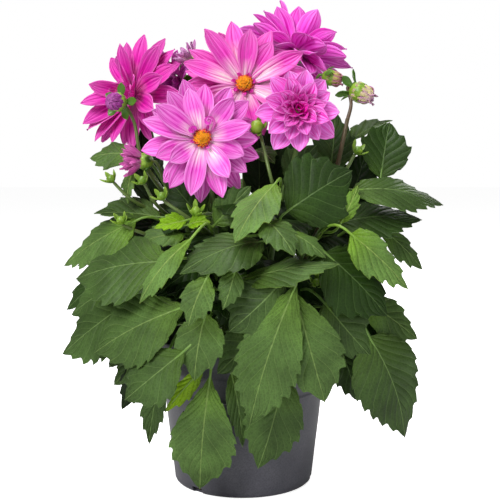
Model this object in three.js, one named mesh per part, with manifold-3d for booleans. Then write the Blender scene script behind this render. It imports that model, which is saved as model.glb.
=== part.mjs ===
// A dahlia in bloom in a 14 cm nursery pot.
// Millimetres, +Z up, the viewer of the photograph looks along +Y, origin at the centre of the pot's flat base.
import * as THREE from "three";
import { mergeVertices } from "three/addons/utils/BufferGeometryUtils.js";
import Module from "manifold-3d";

const wasm = await Module();
wasm.setup();

// Pot
const POT_FOOT_RADIUS = 52;
const POT_CORNER = 4.5;
const POT_WALL_RADIUS_LOW = 55;
const POT_LINE_Z = 76;
const POT_LINE_RADIUS = 63;
const POT_LINE_PROUD = 0.7;
const POT_BAND_Z = 96;
const POT_BAND_RADIUS = 70;
const POT_RIM_Z = 116;
const POT_WALL = 1.5;
const POT_FLOOR = 2;
const POT_SIDES = 24;
const SOIL_SIDES = 20;
const DRAIN_SLOT = { width: 10, height: 5, depth: 9, turns: [-130, -10, 110] };
const DRAIN_HOLE = { radius: 4, ring: 26, count: 4 };

// Soil
const GAP = 0.3;
const SOIL_TOP = 104;
const SOIL_MOUND = 3;
const STEM_HOLE_PLAY = 0.6;
const STEM_HOLE_DEPTH = 60;
const STEM_BOTTOM = 66;
const STEM_STRAIGHT_TOP = 118;

// Leaves and petals
const BLADE_THICKNESS = 0.9;
const PETAL_THICKNESS = 0.8;
const PETAL_CUP = 0.2;
const TOOTH_LEAN = 0.62;
const TOOTH_OUT = 1.08;
const TOOTH_IN = 0.86;
const EDGE_RIPPLE = 0.6;
const STALK_HALF = 1.1;
const STALK_STEP = 44;
const STEM_STEP = 32;
const STEM_SIDES = 5;
const STEM_TOP_RADIUS = 1.9;

// Heads and buds, along their own axes
const CORE_TOP = 2.5;
const CORE_BOTTOM = -2;
const CORE_RADIUS = 4;
const PETAL_START = 5.5;
const BUD_LID = 0.25;

const degrees = (angle) => (angle * Math.PI) / 180;
const point = ([x, y, z]) => new THREE.Vector3(x, y, z);

// A number from 0 to 1 that is the same on every run.
function draw(seed) {
  const value = Math.sin(seed * 12.9898 + 4.1414) * 43758.5453;
  return value - Math.floor(value);
}

// Solids: closed meshes that can be joined and cut

function solid(points, faces) {
  const vertProperties = new Float32Array(points.flatMap((p) => [p.x, p.y, p.z]));
  const triVerts = new Uint32Array(faces.flat());
  return new wasm.Manifold(new wasm.Mesh({ numProp: 3, vertProperties, triVerts }));
}

function solidOf(geometry) {
  geometry.deleteAttribute("normal");
  geometry.deleteAttribute("uv");
  const merged = mergeVertices(geometry, 1e-4);
  const vertProperties = new Float32Array(merged.attributes.position.array);
  const triVerts = new Uint32Array(merged.index.array);
  return new wasm.Manifold(new wasm.Mesh({ numProp: 3, vertProperties, triVerts }));
}

// A turned solid about +Z. The profile runs from the axis at the bottom round the outside to the axis at the top.
function turned(profile, sides, matrix = new THREE.Matrix4()) {
  const points = profile.map(([radius, z]) => new THREE.Vector2(radius, z));
  const geometry = new THREE.LatheGeometry(points, sides);
  geometry.rotateX(Math.PI / 2);
  geometry.applyMatrix4(matrix);
  return solidOf(geometry);
}

function joined(solids) {
  return wasm.Manifold.union(solids);
}

// A thin plate: the same triangles on both faces, each point moved by its half thickness, and a rim round the edge.
// The rim leaves out the edges named as open, so that a stalk or a core can go on from there.
function plateFaces(points, halves, triangles, open) {
  const count = points.length;
  const both = [
    ...points.map((p, i) => p.clone().add(halves[i])),
    ...points.map((p, i) => p.clone().sub(halves[i])),
  ];
  const edges = new Set();
  const faces = [];
  for (const [a, b, c] of triangles) {
    faces.push([a, b, c], [count + a, count + c, count + b]);
    edges.add(`${a},${b}`).add(`${b},${c}`).add(`${c},${a}`);
  }
  for (const edge of edges) {
    const [a, b] = edge.split(",").map(Number);
    if (!edges.has(`${b},${a}`) && !open.includes(edge)) {
      faces.push([b, a, count + a], [b, count + a, count + b]);
    }
  }
  return { points: both, faces };
}

// A tapering stem along a curve.
function rod(curve, radiusStart, radiusEnd, segments, sides) {
  const frames = curve.computeFrenetFrames(segments);
  const points = [];
  const faces = [];
  for (let i = 0; i <= segments; i++) {
    const centre = curve.getPointAt(i / segments);
    const radius = THREE.MathUtils.lerp(radiusStart, radiusEnd, i / segments);
    for (let j = 0; j < sides; j++) {
      const turn = (2 * Math.PI * j) / sides;
      const offset = frames.normals[i].clone().multiplyScalar(radius * Math.cos(turn));
      offset.addScaledVector(frames.binormals[i], radius * Math.sin(turn));
      points.push(centre.clone().add(offset));
    }
  }
  for (let i = 0; i < segments; i++) {
    for (let j = 0; j < sides; j++) {
      const a = i * sides + j;
      const b = i * sides + ((j + 1) % sides);
      faces.push([a, b, b + sides], [a, b + sides, a + sides]);
    }
  }
  const last = segments * sides;
  for (let j = 1; j < sides - 1; j++) {
    faces.push([0, j + 1, j], [last, last + j, last + j + 1]);
  }
  return solid(points, faces);
}

// Pot: a thin moulded wall with a fine line, a flared band, and drain openings

function pot() {
  const outer = [
    [0, 0],
    [POT_FOOT_RADIUS, 0],
    [POT_WALL_RADIUS_LOW - 0.8, 1.2],
    [POT_WALL_RADIUS_LOW, POT_CORNER],
    [POT_LINE_RADIUS - 0.1, POT_LINE_Z - 1],
    [POT_LINE_RADIUS + POT_LINE_PROUD, POT_LINE_Z],
    [POT_LINE_RADIUS + 0.2, POT_LINE_Z + 1.5],
    [POT_BAND_RADIUS - 1, POT_BAND_Z - 4],
    [POT_BAND_RADIUS, POT_BAND_Z],
    [POT_BAND_RADIUS + 0.3, POT_RIM_Z],
  ];
  const inner = [
    [POT_BAND_RADIUS - POT_WALL, POT_RIM_Z],
    [POT_BAND_RADIUS - POT_WALL, POT_BAND_Z],
    [POT_LINE_RADIUS - POT_WALL, POT_LINE_Z],
    [POT_WALL_RADIUS_LOW - POT_WALL, POT_FLOOR],
    [0, POT_FLOOR],
  ];
  let body = turned([...outer, ...inner], POT_SIDES);
  for (const turn of DRAIN_SLOT.turns) {
    const slot = new THREE.BoxGeometry(DRAIN_SLOT.depth, DRAIN_SLOT.width, 2 * DRAIN_SLOT.height);
    slot.translate(POT_WALL_RADIUS_LOW, 0, 0);
    slot.rotateZ(degrees(turn));
    body = body.subtract(solidOf(slot));
  }
  for (let i = 0; i < DRAIN_HOLE.count; i++) {
    const hole = new THREE.CylinderGeometry(DRAIN_HOLE.radius, DRAIN_HOLE.radius, 4 * POT_FLOOR, 8);
    hole.rotateX(Math.PI / 2);
    hole.translate(DRAIN_HOLE.ring, 0, 0);
    hole.rotateZ((2 * Math.PI * (i + 0.5)) / DRAIN_HOLE.count);
    body = body.subtract(solidOf(hole));
  }
  return body;
}

// Soil fills the pot inside its wall, with a plain hole for each stem

function soil(stems) {
  const inside = POT_WALL + GAP + POT_BAND_RADIUS * (1 - Math.cos(Math.PI / POT_SIDES));
  const profile = [
    [0, POT_FLOOR + GAP],
    [POT_FOOT_RADIUS - 1, POT_FLOOR + GAP],
    [POT_LINE_RADIUS - inside, POT_LINE_Z],
    [POT_BAND_RADIUS - inside, POT_BAND_Z],
    [POT_BAND_RADIUS - inside, SOIL_TOP - 1],
    [POT_BAND_RADIUS * 0.7, SOIL_TOP + SOIL_MOUND * 0.5],
    [0, SOIL_TOP + SOIL_MOUND],
  ];
  let body = turned(profile, SOIL_SIDES);
  for (const { foot, radius } of stems) {
    const reach = radius + STEM_HOLE_PLAY;
    const hole = new THREE.CylinderGeometry(reach, reach, STEM_HOLE_DEPTH, 6);
    hole.rotateX(Math.PI / 2);
    hole.translate(foot[0], foot[1], STEM_BOTTOM - GAP + STEM_HOLE_DEPTH / 2);
    body = body.subtract(solidOf(hole));
  }
  return body;
}

// Leaves: an oval pointed blade with forward teeth, folded along its midrib and arched along its length

// Half width along the blade as a share of the widest, 0 at the base and the tip.
function bladeWidth(share) {
  return Math.pow(Math.sin(Math.PI * Math.pow(share, 0.72)), 0.85);
}

function bladeFrame({ base, tip, face, bow }) {
  const start = point(base);
  const along = point(tip).sub(start);
  const up = point(face).normalize();
  const across = new THREE.Vector3().crossVectors(up, along).normalize();
  up.crossVectors(along, across).normalize();
  const place = (share, side, lift) => {
    const p = start.clone().addScaledVector(along, share);
    p.addScaledVector(across, side);
    return p.addScaledVector(up, lift + 4 * share * (1 - share) * bow);
  };
  return { along, up, place };
}

// The blade's own points and triangles. Its first two points are the right and left of its base.
function bladeSurface(leaf) {
  const { width, fold, teeth } = leaf;
  const { place } = bladeFrame(leaf);
  const points = [];
  const triangles = [];
  const add = (share, side, lift) => points.push(place(share, side, lift)) - 1;
  const right = add(0, -STALK_HALF, 0);
  const left = add(0, STALK_HALF, 0);
  const midrib = [];
  for (let i = 1; i <= teeth; i++) {
    midrib[i] = add(i / teeth, 0, 0);
  }
  triangles.push([right, midrib[1], left]);
  for (const side of [1, -1]) {
    const wind = (a, b, c) => triangles.push(side > 0 ? [a, b, c] : [a, c, b]);
    const base = side > 0 ? left : right;
    let valley = base;
    for (let i = 0; i < teeth; i++) {
      const toothShare = (i + TOOTH_LEAN) / teeth;
      const toothHalf = (width / 2) * bladeWidth(toothShare) * TOOTH_OUT;
      const ripple = i % 2 ? -EDGE_RIPPLE : EDGE_RIPPLE;
      const tooth = add(toothShare, side * toothHalf, fold * toothHalf + ripple);
      const next = (i + 1) / teeth;
      const half = (width / 2) * bladeWidth(next) * TOOTH_IN;
      const last = i === teeth - 1;
      const nextValley = last ? midrib[teeth] : add(next, side * half, fold * half);
      wind(i > 0 ? midrib[i] : base, midrib[i + 1], tooth);
      if (i > 0) wind(midrib[i], tooth, valley);
      if (!last) wind(midrib[i + 1], nextValley, tooth);
      valley = nextValley;
    }
  }
  return { points, triangles, right, left };
}

// The stalk's path: off the stem at its height, out, and into the blade along its midrib
function stalkCurve(stem, leaf) {
  const { along } = bladeFrame(leaf);
  const start = stemPointAt(stem, leaf.at);
  const end = point(leaf.base);
  const span = end.distanceTo(start);
  const first = start.clone().lerp(end, 0.4);
  first.z += span * leaf.rise;
  const second = end.clone().addScaledVector(along.clone().normalize(), -0.3 * span);
  return new THREE.CubicBezierCurve3(start, first, second, end);
}

// A leaf is one body: the blade, and a three-sided stalk that goes on from the blade's base back to the stem.
function leafSolid(stem, leaf) {
  const { up } = bladeFrame(leaf);
  const { points, triangles, right, left } = bladeSurface(leaf);
  const half = up.clone().multiplyScalar(BLADE_THICKNESS / 2);
  const { points: all, faces } = plateFaces(points, points.map(() => half), triangles, [`${left},${right}`]);
  const count = points.length;
  const curve = stalkCurve(stem, leaf);
  const segments = Math.max(2, Math.round(curve.getLength() / STALK_STEP));
  const normal = up.clone();
  let ring = [right, left, count + left];
  faces.push([right, count + left, count + right]);
  for (let i = 1; i <= segments; i++) {
    const share = 1 - i / segments;
    const tangent = curve.getTangent(share);
    normal.addScaledVector(tangent, -normal.dot(tangent)).normalize();
    const across = new THREE.Vector3().crossVectors(normal, tangent);
    const reach = STALK_HALF * (1.2 + 0.3 * (1 - share));
    const corner = (side, lift) => {
      const p = curve.getPoint(share).addScaledVector(across, side * reach);
      return all.push(p.addScaledVector(normal, lift * reach)) - 1;
    };
    const next = [corner(-1, 0.6), corner(1, 0.6), corner(0, -1.1)];
    for (let j = 0; j < 3; j++) {
      const k = (j + 1) % 3;
      faces.push([ring[j], ring[k], next[k]], [ring[j], next[k], next[j]]);
    }
    ring = next;
  }
  faces.push(ring);
  return solid(all, faces);
}

// Stems stand straight in the soil and then bend to their flower

function stemCurve(stem) {
  const [x, y] = stem.foot;
  const straight = [
    [x, y, STEM_BOTTOM],
    [x, y, (STEM_BOTTOM + STEM_STRAIGHT_TOP) / 2],
    [x, y, STEM_STRAIGHT_TOP],
  ];
  return new THREE.CatmullRomCurve3([...straight, ...stem.route].map(point));
}

function stemPointAt(stem, height) {
  const curve = stemCurve(stem);
  let low = 0;
  let high = 1;
  for (let i = 0; i < 24; i++) {
    const middle = (low + high) / 2;
    if (curve.getPointAt(middle).z < height) {
      low = middle;
    } else {
      high = middle;
    }
  }
  return curve.getPointAt(low);
}

// Flower heads: local +Z is the way the head faces, local +Y is as near up as it can be

function headMatrix({ centre, axis }) {
  const out = point(axis).normalize();
  const reference = Math.abs(out.z) > 0.9 ? new THREE.Vector3(0, 1, 0) : new THREE.Vector3(0, 0, 1);
  const right = new THREE.Vector3().crossVectors(reference, out).normalize();
  const up = new THREE.Vector3().crossVectors(out, right);
  return new THREE.Matrix4().makeBasis(right, up, out).setPosition(point(centre));
}

// A stack of levels from bottom to top, all with the same number of corners, closed to a point at each end. A level
// is a plain polygon of a radius and height, or a row of petals, one on each side of its polygon.
function stack(matrix, bottom, levels, top) {
  const points = [];
  const faces = [];
  const push = (x, y, z) => points.push(new THREE.Vector3(x, y, z)) - 1;
  const rows = levels.filter((level) => Array.isArray(level));
  const evenCorners = cornerTurns(rows[0]);
  let below = [push(0, 0, bottom)];
  const rise = (rim) => {
    for (let i = 0; i < rim.length; i++) {
      const next = (i + 1) % rim.length;
      if (below.length === 1) {
        faces.push([below[0], rim[next], rim[i]]);
      } else {
        faces.push([below[i], below[next], rim[next]], [below[i], rim[next], rim[i]]);
      }
    }
  };
  for (const level of levels) {
    if (Array.isArray(level)) {
      const body = petalRow(level);
      const from = points.length;
      points.push(...body.points);
      faces.push(...body.faces.map((face) => face.map((index) => index + from)));
      rise(body.lower.map((index) => index + from));
      below = body.upper.map((index) => index + from);
    } else {
      const { radius, z } = level;
      const rim = evenCorners.map((turn) => push(radius * Math.cos(turn), radius * Math.sin(turn), z));
      rise(rim);
      below = rim;
    }
  }
  const crown = push(0, 0, top);
  for (let i = 0; i < below.length; i++) {
    faces.push([crown, below[i], below[(i + 1) % below.length]]);
  }
  return solid(
    points.map((p) => p.applyMatrix4(matrix)),
    faces,
  );
}

// The corners between neighbouring petals, in order of turn
function cornerTurns(petals) {
  const count = petals.length;
  return petals.map((one, i) => {
    const before = i > 0 ? petals[i - 1].turn : petals[count - 1].turn - 360;
    return degrees((one.turn + before) / 2);
  });
}

// A row of petals as a thin plate with an open middle: its lower and upper rims are where the next levels join.
// A petal bends by its curl from base to tip, and its edges stand above its middle.
function petalRow(petals) {
  const { start, height } = petals[0];
  const points = [];
  const normals = [];
  const triangles = [];
  const add = (p, normal) => {
    normals.push(normal);
    return points.push(p) - 1;
  };
  const axis = new THREE.Vector3(0, 0, 1);
  const rim = cornerTurns(petals).map((turn) =>
    add(new THREE.Vector3(start * Math.cos(turn), start * Math.sin(turn), height), axis),
  );
  petals.forEach((one, i) => {
    addPetal(one, { right: rim[i], left: rim[(i + 1) % rim.length] }, add, triangles);
  });
  const halves = normals.map((normal) => normal.clone().multiplyScalar(PETAL_THICKNESS / 2));
  const inner = rim.map((index, i) => `${rim[(i + 1) % rim.length]},${index}`);
  const body = plateFaces(points, halves, triangles, inner);
  return { ...body, lower: rim.map((index) => index + points.length), upper: rim };
}

// One petal of a row, on the two rim points of its base
function addPetal(petal, base, add, triangles) {
  const { turn, start, height, length, width, tilt, curl = 0, plain } = petal;
  const shares = plain ? [0, 0.5, 1] : [0, 0.48, 0.82, 1];
  const heading = degrees(turn);
  const outward = new THREE.Vector3(Math.cos(heading), Math.sin(heading), 0);
  const sideways = new THREE.Vector3(-Math.sin(heading), Math.cos(heading), 0);
  const slope = degrees(tilt + curl / 2);
  const normal = outward.clone().multiplyScalar(-Math.sin(slope));
  normal.z = Math.cos(slope);
  const centre = outward.clone().multiplyScalar(start).setZ(height);
  const centres = shares.map((share, i) => {
    if (i > 0) {
      const angle = degrees(tilt + (curl * (share + shares[i - 1])) / 2);
      const step = length * (share - shares[i - 1]);
      centre.addScaledVector(outward, step * Math.cos(angle));
      centre.z += step * Math.sin(angle);
    }
    return centre.clone();
  });
  const side = (at, half) => {
    const p = at.clone().addScaledVector(sideways, half);
    return add(p.addScaledVector(normal, Math.abs(half) * PETAL_CUP), normal);
  };
  const wide = { right: side(centres[1], -width / 2), left: side(centres[1], width / 2) };
  const middle = add(centres[1].clone().addScaledVector(normal, -0.3 * PETAL_CUP * width), normal);
  triangles.push([base.right, wide.right, middle], [base.right, middle, base.left]);
  triangles.push([base.left, middle, wide.left]);
  const tip = add(centres[centres.length - 1], normal);
  if (plain) {
    triangles.push([middle, wide.right, tip], [middle, tip, wide.left]);
    return;
  }
  const near = { right: side(centres[2], -0.34 * width), left: side(centres[2], 0.34 * width) };
  triangles.push([wide.right, near.right, middle], [middle, near.right, near.left]);
  triangles.push([middle, near.left, wide.left], [near.right, tip, near.left]);
}

// A row of petals, evenly turned with a little play
function evenRow(row, seed) {
  const petals = [];
  for (let i = 0; i < row.count; i++) {
    const play = draw(seed + i) - 0.5;
    const other = draw(seed + i + 50) - 0.5;
    petals.push({
      ...row,
      turn: row.turn + ((i + 0.2 * play) * 360) / row.count,
      tilt: row.tilt + 8 * other,
      length: row.length * (1 + 0.12 * play),
    });
  }
  return petals;
}

function petalNode(head) {
  const top = head.top ?? CORE_TOP;
  const foot = { radius: CORE_RADIUS, z: CORE_BOTTOM };
  const lid = head.top ? [] : [{ radius: CORE_RADIUS, z: CORE_TOP }];
  return stack(headMatrix(head), CORE_BOTTOM, [foot, ...head.rows, ...lid], top);
}

// The raised centre of tube florets: a dome of studs, every other point of each ring standing up
function discNode(head) {
  const matrix = headMatrix(head);
  const sides = 12;
  const low = CORE_TOP + GAP;
  const rings = [
    [4.2, 0, 0],
    [4.9, 1.2, 0.5],
    [3.7, 2.2, 1],
    [2.2, 2.9, 1],
  ];
  const points = [new THREE.Vector3(0, 0, low)];
  for (const [radius, rise, stud] of rings) {
    for (let i = 0; i < sides; i++) {
      const turn = (2 * Math.PI * (i + rise)) / sides;
      const lift = low + rise + (i % 2) * stud;
      points.push(new THREE.Vector3(radius * Math.cos(turn), radius * Math.sin(turn), lift));
    }
  }
  const crown = points.push(new THREE.Vector3(0, 0, low + 3.4)) - 1;
  const faces = [];
  for (let i = 0; i < sides; i++) {
    const next = (i + 1) % sides;
    faces.push([0, 1 + next, 1 + i], [crown, crown - sides + i, crown - sides + next]);
    for (let ring = 0; ring < rings.length - 1; ring++) {
      const a = 1 + ring * sides + i;
      const b = 1 + ring * sides + next;
      faces.push([a, b, b + sides], [a, b + sides, a + sides]);
    }
  }
  return solid(
    points.map((p) => p.applyMatrix4(matrix)),
    faces,
  );
}

// The green cup behind a head, with its leafy bracts
function calyxSolid(head) {
  const top = CORE_BOTTOM - GAP;
  const row = { count: 5, turn: head.bracts, start: 3.6, height: top - 4.6, length: 11, width: 5.5 };
  const bracts = evenRow({ ...row, tilt: 6, curl: -35, plain: true }, 7);
  const rim = { radius: 4.6, z: top };
  return stack(headMatrix(head), top - 7, [bracts, rim], top);
}

// Where a head's stalk meets it, and the last bend before it
function headStalk(head, behind) {
  const matrix = headMatrix(head);
  const join = new THREE.Vector3(0, 0, CORE_BOTTOM - 6).applyMatrix4(matrix);
  const bend = new THREE.Vector3(0, 0, CORE_BOTTOM - 6 - behind).applyMatrix4(matrix);
  return [bend.toArray(), join.toArray()];
}

// Buds: a round green cup with a ring of bracts, closed, or open at a flat lid where petals show

function budSolid(bud) {
  const { radius } = bud;
  const bracts = evenRow(
    {
      count: radius > 4 ? 5 : 4,
      turn: 10,
      start: radius * 0.62,
      height: -radius * 0.75,
      length: radius * 1.3,
      width: radius * 0.7,
      tilt: 25,
      curl: 30,
      plain: true,
      ...bud.bracts,
    },
    radius,
  );
  const belly = { radius, z: -radius * 0.1 };
  const closed = { radius: radius * 0.75, z: radius * 0.6 };
  const open = { radius: radius * 0.97, z: radius * BUD_LID };
  const top = bud.tip ? radius * BUD_LID : radius * 0.95;
  return stack(headMatrix(bud), -radius * 1.1, [bracts, belly, bud.tip ? open : closed], top);
}

// The petals that show at a bud's tip: a closed cone, or rings of loose petals where the bud opens
function budTip(bud) {
  const { radius } = bud;
  const low = radius * BUD_LID + GAP;
  if (!bud.open) {
    const cone = [
      [0, low],
      [radius * 0.93, low],
      [radius * 0.85, low + radius * 0.35],
      [radius * 0.42, low + radius * 0.75],
      [0, low + radius * 0.9],
    ];
    return turned(cone, 7, headMatrix(bud));
  }
  const rings = bud.open.map((row) => evenRow({ ...row, height: low + row.height, plain: true }, radius));
  return stack(headMatrix(bud), low, [{ radius: 1.6, z: low }, ...rings], low + 3.4);
}

// A side branch from a stem to a bud
function budStalk(stem, bud) {
  const matrix = headMatrix(bud);
  const foot = -bud.radius * 0.8;
  const end = new THREE.Vector3(0, 0, foot).applyMatrix4(matrix);
  const before = new THREE.Vector3(0, 0, foot - bud.radius).applyMatrix4(matrix);
  const middle = (bud.via ?? []).map(point);
  const curve = new THREE.CatmullRomCurve3([stemPointAt(stem, bud.at), ...middle, before, end]);
  const segments = Math.max(2, Math.round(curve.getLength() / 18));
  return rod(curve, 1.6, 1.2, segments, 4);
}

// Heads. The two open ones in front have their petals as [turn, reach, extra tilt], row by row from behind.
const FRONT_PETALS = [
  [[20, 40], [62, 44], [108, 45], [150, 42], [190, 46], [228, 42], [268, 46], [306, 46], [342, 43]],
  [[39, 43], [87, 39], [126, 42], [163, 45], [202, 36], [236, 43], [289, 45], [323, 40], [359, 40]],
  [[14, 36], [52, 36], [76, 18, 26], [105, 36], [145, 40], [217, 29], [259, 42], [304, 35], [338, 32]],
];
const MIDDLE_PETALS = [
  [[40, 46], [82, 44], [115, 46], [165, 46], [205, 44], [245, 44], [285, 42], [325, 43], [358, 46]],
  [[12, 48], [64, 47], [101, 50], [148, 49], [182, 46], [218, 44], [254, 44], [290, 42], [325, 43]],
  [[27, 49], [56, 37], [84, 40], [127, 49], [163, 47], [205, 44], [245, 43], [285, 42], [330, 44]],
];

function readRows(rows, width, firstTilt, curl) {
  return rows.map((row, level) =>
    row.map(([turn, reach, extra = 0]) => {
      const tilt = firstTilt + 11 * level + extra;
      return {
        turn,
        start: PETAL_START,
        height: -1.2 + 1.5 * level,
        length: (reach - PETAL_START) / Math.cos(degrees(tilt + curl / 2)),
        width: width * Math.min(1, reach / 32),
        tilt: tilt + 4 * (draw(turn) - 0.5),
        curl,
      };
    }),
  );
}

function evenRows(rows, seed) {
  return rows.map((row, level) => evenRow({ start: PETAL_START, ...row }, seed + 7 * level));
}

const heads = {
  front: {
    centre: [-29, -60, 270],
    axis: [0.02, -1, 0.06],
    bracts: 0,
    rows: readRows(FRONT_PETALS, 14.2, 0, -12),
  },
  middle: {
    centre: [1, -25, 311],
    axis: [0.02, -0.98, 0.18],
    bracts: 0,
    rows: readRows(MIDDLE_PETALS, 14.2, -2, -10),
  },
  double: {
    centre: [43, -53, 290],
    axis: [0.1, -0.98, 0.1],
    bracts: 0,
    top: 9.6,
    rows: evenRows(
      [
        { count: 8, turn: 8, height: -0.6, length: 24, width: 11, tilt: 4, curl: -10 },
        { count: 8, turn: 30, height: 1.6, length: 20.5, width: 10, tilt: 24 },
        { count: 8, turn: 8, height: 4, length: 15.5, width: 7.6, tilt: 44, plain: true },
        { count: 8, turn: 30, start: 4.2, height: 6.4, length: 11, width: 4.6, tilt: 60, plain: true },
        { count: 8, turn: 8, start: 2.6, height: 8.6, length: 7.5, width: 2.8, tilt: 70, plain: true },
      ],
      21,
    ),
  },
  top_right: {
    centre: [41, 24, 340],
    axis: [0.3, 0.36, 0.87],
    bracts: 200,
    rows: evenRows(
      [
        { count: 8, turn: 22, height: -1.2, length: 40, width: 15.5, tilt: -8, curl: -38 },
        { count: 8, turn: 0, height: 0.3, length: 41, width: 15.5, tilt: 24, curl: -20 },
        { count: 8, turn: 22, start: 5, height: 1.8, length: 36, width: 12, tilt: 54, curl: -12 },
      ],
      31,
    ),
  },
  left: {
    centre: [-87, 4, 306],
    axis: [-0.66, -0.72, 0.12],
    bracts: 30,
    rows: evenRows(
      [
        { count: 8, turn: 12, height: -1.2, length: 41, width: 16, tilt: -10, curl: -28 },
        { count: 8, turn: 35, height: 0.3, length: 41, width: 16, tilt: 18, curl: -18 },
        { count: 8, turn: 12, start: 5, height: 1.8, length: 33, width: 13, tilt: 50, curl: -10 },
      ],
      41,
    ),
  },
  small: {
    centre: [-53, 26, 318],
    axis: [-0.72, -0.3, -0.35],
    bracts: 0,
    rows: evenRows(
      [
        { count: 7, turn: 20, height: -1.2, length: 24, width: 10, tilt: 8, curl: -20 },
        { count: 7, turn: 45, start: 4.4, height: 0.6, length: 21, width: 7.5, tilt: 46, curl: -10 },
      ],
      51,
    ),
  },
};

// Loose petals of an opening bud
const OPEN_TIP = [
  { count: 5, turn: 36, start: 4.6, height: 0.6, length: 13, width: 5, tilt: 48 },
  { count: 5, turn: 0, start: 3, height: 2.2, length: 12, width: 3.8, tilt: 70 },
];

// Leafy shoots: stem, head, buds and leaves. A leaf is its stalk's height on the stem, the blade's base and tip,
// width, teeth a side, the way its upper face looks, arch along the blade, fold across it, and the stalk's rise.
const leaf = (at, base, tip, width, teeth, face, bow = 4, fold = -0.12, rise = 0.12) => ({
  at, base, tip, width, teeth, face, bow, fold, rise,
});

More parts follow.
